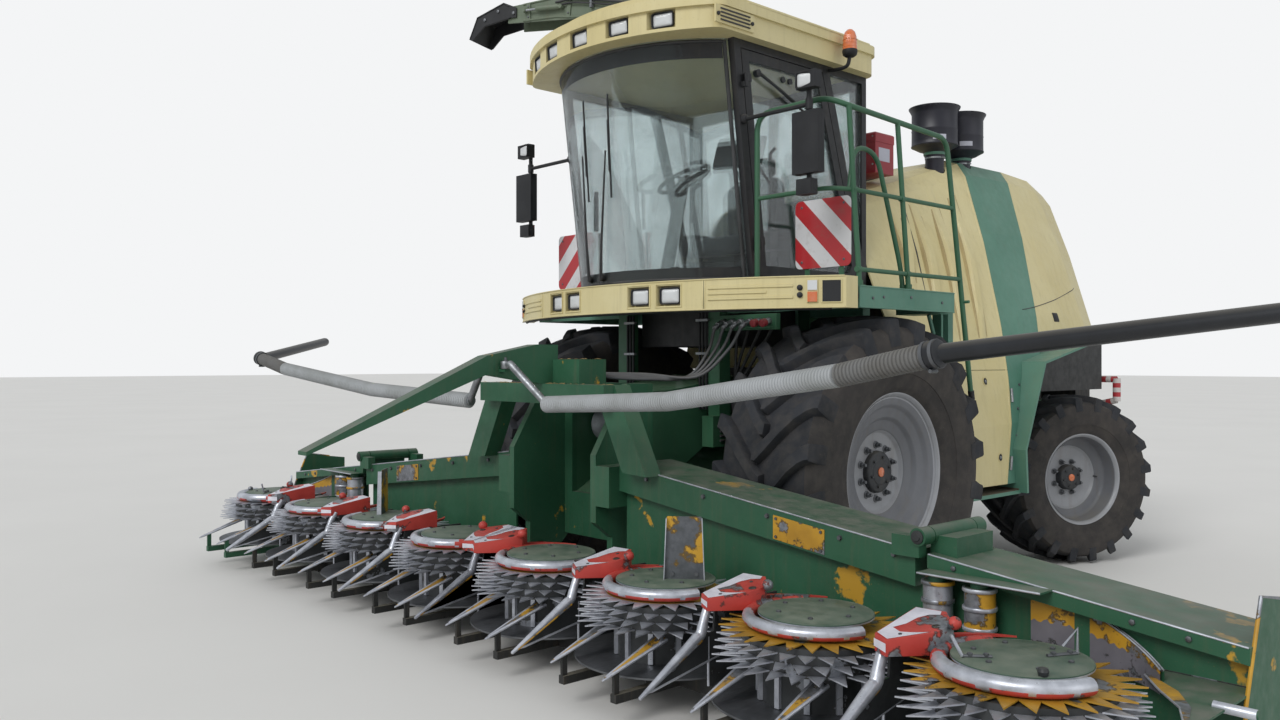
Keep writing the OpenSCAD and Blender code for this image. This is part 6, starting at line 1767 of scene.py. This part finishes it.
def spoutShape():
    # Finishes: 0 enamel, 1 hose, 2 bolts, 3 zinc
    shape = newShape()
    low = [(0.12, 0.37), (0.5, 0.85), (1.3, 1.33), (2.4, 1.64), (2.98, 1.687)]
    top = [(-0.13, 0.48), (0.3, 1.1), (1.15, 1.6), (2.35, 1.88), (2.98, 1.8564)]
    for s in (-1, 1):
        side = s * (spoutLook["half"] + 0.001)
        lift = onSpout(0, s, 0) - onSpout(0, 0, 0)
        # Folded flanges along both edges, and upright stiffeners between them
        addTube(shape, smoothRoute([onSpout(u, side, v + 0.012) for u, v in low], 3), 0.0115, 0, 8)
        addTube(shape, [onSpout(u, side, v - 0.008) for u, v in top], 0.009, 0, 8)
        for (u0, v0), (u1, v1) in (((0.62, 0.94), (0.52, 1.21)), ((1.02, 1.17), (0.93, 1.45)),
                                   ((1.5, 1.4), (1.42, 1.64)), ((2.0, 1.54), (1.95, 1.77)),
                                   ((2.5, 1.66), (2.48, 1.86)), ((2.92, 1.69), (2.92, 1.85))):
            ring = [onSpout(u, side, v) for u, v in ((u0 - 0.02, v0), (u0 + 0.02, v0), (u1 + 0.02, v1),
                                                     (u1 - 0.02, v1))]
            addLoft(shape, [ring, [p + lift * 0.012 for p in ring]], 0)
            for share in (0.2, 0.8):
                spot = (ring[0].lerp(ring[3], share) + ring[1].lerp(ring[2], share)) / 2
                addTurned(shape, [(0.01, 0.009), (0.018, 0.009), (0.02, 0.006)], spot, lift, 2, 6)
        # Pin ends
        addTurned(shape, [(0, 0.042), (0.008, 0.042), (0.01, 0.02), (0.024, 0.018)],
                  onSpout(0, s * 0.176, 0.45), lift, 3, 24)
    # Hoses of the flap's drive along one side, held by saddles
    for drop, radius in ((0.0, 0.011), (0.032, 0.008)):
        route = [onSpout(u, 0.17, v - drop) for u, v in ((0.2, 0.78), (0.4, 1.06), (1.15, 1.5), (2.3, 1.79),
                                                         (2.62, 1.81))]
        addTube(shape, smoothRoute(route, 5), radius, 1, 8)
    for u, v in ((0.42, 1.05), (0.85, 1.31), (1.3, 1.525), (1.8, 1.655), (2.25, 1.76)):
        addBox(shape, onSpout(u, 0.165, v - 0.03) - Vector((0.014, 0.014, 0.02)),
               onSpout(u, 0.165, v) + Vector((0.014, 0.014, 0.014)), 3)
    # Small drive cylinder for the flap, on brackets on the same side
    addTube(shape, [onSpout(2.56, 0.18, 1.76), onSpout(2.6, 0.18, 1.763), onSpout(2.82, 0.18, 1.775)],
            [0.012, 0.022, 0.022], 0, 16)
    addTube(shape, [onSpout(2.82, 0.18, 1.775), onSpout(2.95, 0.18, 1.78)], 0.01, 3, 12)
    for u, v in ((2.56, 1.76), (2.95, 1.78)):
        addTube(shape, [onSpout(u, 0.145, v), onSpout(u, 0.2, v)], 0.018, 0, 16)
    return shape


makePiece("spoutTrim", spoutShape(), ["spoutEnamel", "hoseRubber", "darkBolt", "zincSteel"], "spout",
          sharp=40)


def flapShape():
    shape = newShape()
    out = onSpout(0, 1, 0) - onSpout(0, 0, 0)
    for s in (-1, 1):
        face = s * 0.1615
        for u, v in ((3.08, 1.78), (3.25, 1.82), (3.4, 1.76)):
            addTurned(shape, [(0, 0.016), (0.008, 0.016), (0.01, 0.01)], onSpout(u, face, v), out * s, 1, 6)
        addTube(shape, [onSpout(u, face, v) for u, v in ((3.13, 1.85), (3.19, 1.885), (3.485, 1.79),
                                                         (3.568, 1.61))], 0.006, 0, 8)
        addTube(shape, [onSpout(u, face, v) for u, v in ((3.11, 1.745), (3.4, 1.705), (3.53, 1.59))], 0.006,
                0, 8)
    for u, v in ((3.26, 1.874), (3.36, 1.844)):
        addTube(shape, [onSpout(u, -0.15, v), onSpout(u, 0.15, v)], 0.007, 0, 8)
    return shape


makePiece("flapTrim", flapShape(), ["blackPlastic", "darkBolt"], "spout_end", sharp=40)

# Finishes: 0 zinc, 1 bolts, 2 black
ringTrim = newShape()
addTurned(ringTrim, [(0.006, 0.2905), (0.006, 0.296), (0.03, 0.296), (0.044, 0.2905)], onSpout(0, 0, 0),
          upward, 0, 64, False)
for a in around(16):
    spot = polar(0.26, a)
    addTurned(ringTrim, [(0.05, 0.012), (0.058, 0.012), (0.06, 0.008)], onSpout(spot.x, spot.y, 0), upward, 1,
              6)
addTurned(ringTrim, [(0.05, 0.045), (0.17, 0.045), (0.18, 0.03)], onSpout(0.21, 0.14, 0), upward, 2, 20)
makePiece("turretTrim", ringTrim, ["zincSteel", "darkBolt", "blackPlastic"], "spout_base")
print("stage: spout made")

couplerLook = {"firstX": 0.55, "pitch": 0.075, "sockets": 6, "hoses": 4}


def couplerShape():
    # Finishes: 0 green, 1 red caps, 2 hose, 3 zinc, 4 black
    shape = newShape()
    addBox(shape, at(0.5, -0.5, 1.855), at(0.98, -0.46, 1.955), 0)
    addBox(shape, at(0.5, -0.54, 1.862), at(0.96, -0.5, 1.872), 0)
    for k in range(couplerLook["sockets"]):
        x = couplerLook["firstX"] + couplerLook["pitch"] * k
        red = k >= couplerLook["hoses"]
        addTurned(shape, [(0, 0.022), (0.03, 0.022), (0.03, 0.018), (0.05, 0.018)], at(x, -0.5, 1.91),
                  (0, -1, -0.25), 3, 16)
        cap = [(0.042, 0.025), (0.075, 0.025), (0.082, 0.018)] if red else [(0.045, 0.019), (0.08, 0.016)]
        addTurned(shape, cap, at(x, -0.5, 1.91), (0, -1, -0.25), 1 if red else 3, 20)
    # Hoses from the frame up to the block's back
    for k in range(couplerLook["hoses"]):
        x = 0.58 + 0.1 * k
        addTube(shape, smoothRoute([at(x, -0.462, 1.9), at(x - 0.02, -0.4, 1.86),
                                    at(0.53, -0.38, 1.6 - 0.05 * k), at(0.505, -0.36, 1.28)], 5), 0.011, 2, 8)
    # Lines down the cab posts, and clamps on them
    for s in (-1, 1):
        for k in range(3):
            addTube(shape, [at(s * (0.39 - 0.03 * k), -0.51, 1.34), at(s * (0.39 - 0.03 * k), -0.51, 1.98)],
                    0.009, 4, 8)
        for z in (1.45, 1.7, 1.92):
            addBox(shape, at(s * 0.36 - 0.055, -0.526, z), at(s * 0.36 + 0.055, -0.5, z + 0.018), 3)
    return shape


makePiece("couplerBlock", couplerShape(), ["railGreenEnamel", "redEnamel", "hoseRubber", "zincSteel",
                                           "blackPlastic"], "chassis", bevel=0.002, sharp=40)

hoses = newShape()
for k in range(couplerLook["hoses"]):
    x = couplerLook["firstX"] + couplerLook["pitch"] * k
    start = at(x, -0.575, 1.885)
    route = [start, start + Vector((0.0, -0.03, -0.03)), at(x - 0.02 * k, -0.66, 1.72),
             at(x - 0.06 - 0.05 * k, -0.78, 1.56), at(0.36 - 0.02 * k, -0.98, 1.545 + 0.01 * k),
             at(0.26 - 0.05 * k, -1.2, 1.555 + 0.008 * k), at(0.24 - 0.05 * k, -1.312, 1.58)]
    addTube(hoses, smoothRoute(route, 6), 0.0105, 0, 10)
    addTurned(hoses, [(0, 0.016), (0.04, 0.016), (0.045, 0.013)], start + Vector((0, 0.01, 0.003)),
              (0, -1, -0.5), 1, 12)
hosePiece = makePiece("couplerHoses", hoses, ["greyHose", "zincSteel"], None, sharp=50)
print("stage: couplings made")

rearLook = {"guardY": 4.24, "guardZ": 1.492, "bandStart": 0.69, "bandWide": 0.0444, "bands": 8,
            "plateY": 4.45, "slats": 9}


def rearShape():
    # Finishes: 0 black, 1 dark slats, 2 red lens, 3 amber lens, 4 white, 5 red, 6 bolts
    shape = newShape()
    guardY = rearLook["guardY"]
    # Red and white sleeves on the rear guard tubes
    for s in (-1, 1):
        for n in range(rearLook["bands"]):
            a, b = (rearLook["bandStart"] + rearLook["bandWide"] * k for k in (n, n + 1))
            addTube(shape, [at(s * x, guardY, rearLook["guardZ"]) for x in (a, b)], 0.0295, 5 if n % 2 else 4,
                    20)
            low, high = (1.215 + 0.085 * k / rearLook["bands"] for k in (n, n + 1))
            addTube(shape, [at(s * a, guardY, low), at(s * b, guardY, high)], 0.0295, 4 if n % 2 else 5, 20)
        for n in range(5):
            sleeve = [at(s * 1.045, guardY, 1.29 + 0.042 * k) for k in (n, n + 1)]
            addTube(shape, sleeve, 0.0345, 5 if n % 2 else 4, 24)
        # Rear lamps on the frame beside the bumper
        for z, lens in ((1.42, 2), (1.28, 3)):
            addWorkLamp(shape, at(s * 0.6, rearLook["plateY"], z), rearward, lampLook["rearSize"], 0, lens)
    # Slats of the radiator's intake across the rear plate
    for k in range(rearLook["slats"]):
        z = 1.56 + 0.042 * k
        addBox(shape, at(-0.7, 4.188, z), at(0.7, 4.203, z + 0.018), 1)
    for x in (-0.72, -0.36, 0, 0.36, 0.72):
        addBox(shape, at(x - 0.012, 4.187, 1.54), at(x + 0.012, 4.209, 1.96), 0)
    # Bolts and pin ends round the drawbar jaw
    for x in (-0.5, -0.25, 0.25, 0.5):
        for z in (0.98, 1.12):
            addTurned(shape, [(0, 0.02), (0.014, 0.02), (0.018, 0.013)], at(x, rearLook["plateY"], z),
                      rearward, 6, 6)
    for s in (-1, 1):
        for y in (4.31, 4.35):
            addTurned(shape, [(0, 0.012), (0.01, 0.012)], at(s * 0.06, y, 0.84), (s, 0, 0), 6, 6)
    return shape


makePiece("rearTrim", rearShape(), ["blackPlastic", "chassisEnamel", "redLens", "amberLens", "whitePaint",
                                    "redPaint", "darkBolt"], "chassis", sharp=40)


engineLook = {"fan": (0, 3.88, 1.78), "blades": 9, "ribs": 7, "ribPitch": 0.19, "hubX": 0.778, "hubBolts": 12,
              "boltCircle": 0.17, "axleZ": 0.97}


def underShape():
    # Finishes: 0 dark, 1 green, 2 zinc, 3 hose
    shape = newShape()
    # Ribs, covers and a fan ring that give the engine block its form
    for s in (-1, 1):
        for k in range(engineLook["ribs"]):
            y = 2.56 + engineLook["ribPitch"] * k
            addBox(shape, at(s * 0.505 - 0.008, y, 1.4), at(s * 0.505 + 0.008, y + 0.05, 2.15), 0)
        for z in (1.5, 1.85, 2.1):
            addBox(shape, at(s * 0.506 - 0.01, 2.5, z), at(s * 0.506 + 0.01, 3.85, z + 0.02), 2)
        # Brake lines and steering hoses along the frame
        for k in range(3):
            line = [at(s * 0.507, y, z + 0.03 * k) for y, z in ((-0.5, 1.14), (1.2, 1.14), (2.6, 1.16),
                                                                (3.9, 1.15))]
            addTube(shape, smoothRoute(line, 4), 0.008, 3, 8)
        # Hub flange bolts on the front axle
        for a in around(engineLook["hubBolts"]):
            spot = polar(engineLook["boltCircle"], a)
            addTurned(shape, [(-0.01, 0.011), (0.008, 0.011)],
                      at(s * engineLook["hubX"], spot.x, engineLook["axleZ"] + spot.y), (-s, 0, 0), 2, 6)
    addTurned(shape, [(0, 0.42), (0.02, 0.42), (0.02, 0.36), (0, 0.36)], at(*engineLook["fan"]), rearward, 0,
              48, False)
    for a in around(engineLook["blades"]):
        # One blade of the fan
        u, v = Vector((math.cos(a), 0, math.sin(a))), Vector((-math.sin(a), 0, math.cos(a)))
        ring = [at(0, 3.885, 1.78) + u * out + v * side + Vector((0, twist, 0))
                for out, side, twist in ((0.05, -0.02, 0), (0.34, -0.06, 0), (0.34, 0.05, 0.012),
                                         (0.05, 0.02, 0.006))]
        addLoft(shape, [ring, [p + Vector((0, 0.003, 0)) for p in ring]], 0)
    addTurned(shape, [(0, 0.07), (0.03, 0.07), (0.035, 0.05)], at(*engineLook["fan"]), rearward, 2, 24)
    # Belt covers on the chopper housing
    for s in (-1, 1):
        addTurned(shape, [(0, 0.2), (0.012, 0.2), (0.018, 0.19), (0.018, 0.05), (0.03, 0.045)],
                  at(s * 0.38, 0.46, 1.1), (s, 0, 0), 1, 40)
    return shape


makePiece("engineTrim", underShape(), ["chassisEnamel", "railGreenEnamel", "zincSteel", "hoseRubber"],
          "chassis", sharp=40)
print("stage: rear made")

bpy.context.view_layer.update()
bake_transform(hosePiece)

# Floor, light and camera

stageLook = {"floorColours": ("#dddbd7", "#d9d7d3"), "skyLight": 0.65, "keyStrength": 1.5,
             "fillStrength": 0.25, "floorHalf": 120}


def addLamp(name, spot, target, softness, strength, colour="#ffffff"):
    # A far lamp, so that the floor is as bright at the horizon as it is here
    lamp = bpy.data.lights.new(name, "SUN")
    lamp.energy = strength
    lamp.angle = math.radians(softness)
    lamp.color = toLinear(colour)[:3]
    holder = bpy.data.objects.new(name, lamp)
    holder.location = spot
    holder.rotation_euler = (Vector(target) - Vector(spot)).to_track_quat("-Z", "Y").to_euler()
    bpy.context.scene.collection.objects.link(holder)


def floorMaterial():
    # Matt painted studio floor, pale and even
    material = startMaterial("studioFloor")
    colour = blendColour(material, patches(material, 3000, 0.3, 0.7), *stageLook["floorColours"])
    return finishMaterial(material, addSurface(material, colour, 0.9))


floorMesh = bpy.data.meshes.new("studioFloor")
corners = [(u * stageLook["floorHalf"], v * stageLook["floorHalf"], 0)
           for u, v in ((-1, -1), (1, -1), (1, 1), (-1, 1))]
floorMesh.from_pydata(corners, [], [(0, 1, 2, 3)])
floorMesh.materials.append(floorMaterial())
studioFloor = bpy.data.objects.new("studioFloor", floorMesh)
bpy.context.scene.collection.objects.link(studioFloor)

world = bpy.data.worlds.new("studioSky")
world.use_nodes = True
bpy.context.scene.world = world
world.node_tree.nodes.clear()
path = addNode(world, "ShaderNodeLightPath")
seen = calculate(world, "MAXIMUM", path.outputs["Is Camera Ray"], path.outputs["Is Transmission Ray"])
sky = addNode(world, "ShaderNodeBackground", {"Color": toLinear("#eef2f6"),
                                              "Strength": stageLook["skyLight"]})
backdrop = addNode(world, "ShaderNodeBackground", {"Color": toLinear("#f4f5f6"), "Strength": 1.0})
both = addNode(world, "ShaderNodeMixShader", {0: seen, 1: sky.outputs[0], 2: backdrop.outputs[0]})
addNode(world, "ShaderNodeOutputWorld", {"Surface": both.outputs[0]})

addLamp("keyLamp", (2, -12, 11), (0, 0, 1.5), 28, stageLook["keyStrength"])
addLamp("fillLamp", (13, 2, 7), (0, 0, 1.5), 40, stageLook["fillStrength"])

view = {"spot": at(5.132, -5.408, 1.655), "azimuth": 47.75, "tilt": 0.09, "focalPx": 1032, "imagePx": 1280}
cameraData = bpy.data.cameras.new("photoCamera")
cameraData.sensor_width = 36
cameraData.lens = view["focalPx"] / view["imagePx"] * cameraData.sensor_width
cameraData.clip_end = 500
photoCamera = bpy.data.objects.new("photoCamera", cameraData)
photoCamera.location = view["spot"]
photoCamera.rotation_euler = (math.radians(90 + view["tilt"]), 0, math.radians(view["azimuth"]))
bpy.context.scene.collection.objects.link(photoCamera)
bpy.context.scene.camera = photoCamera
bpy.context.scene.view_settings.view_transform = "Standard"
print("stage: floor, light and camera set")

bpy.context.view_layer.update()
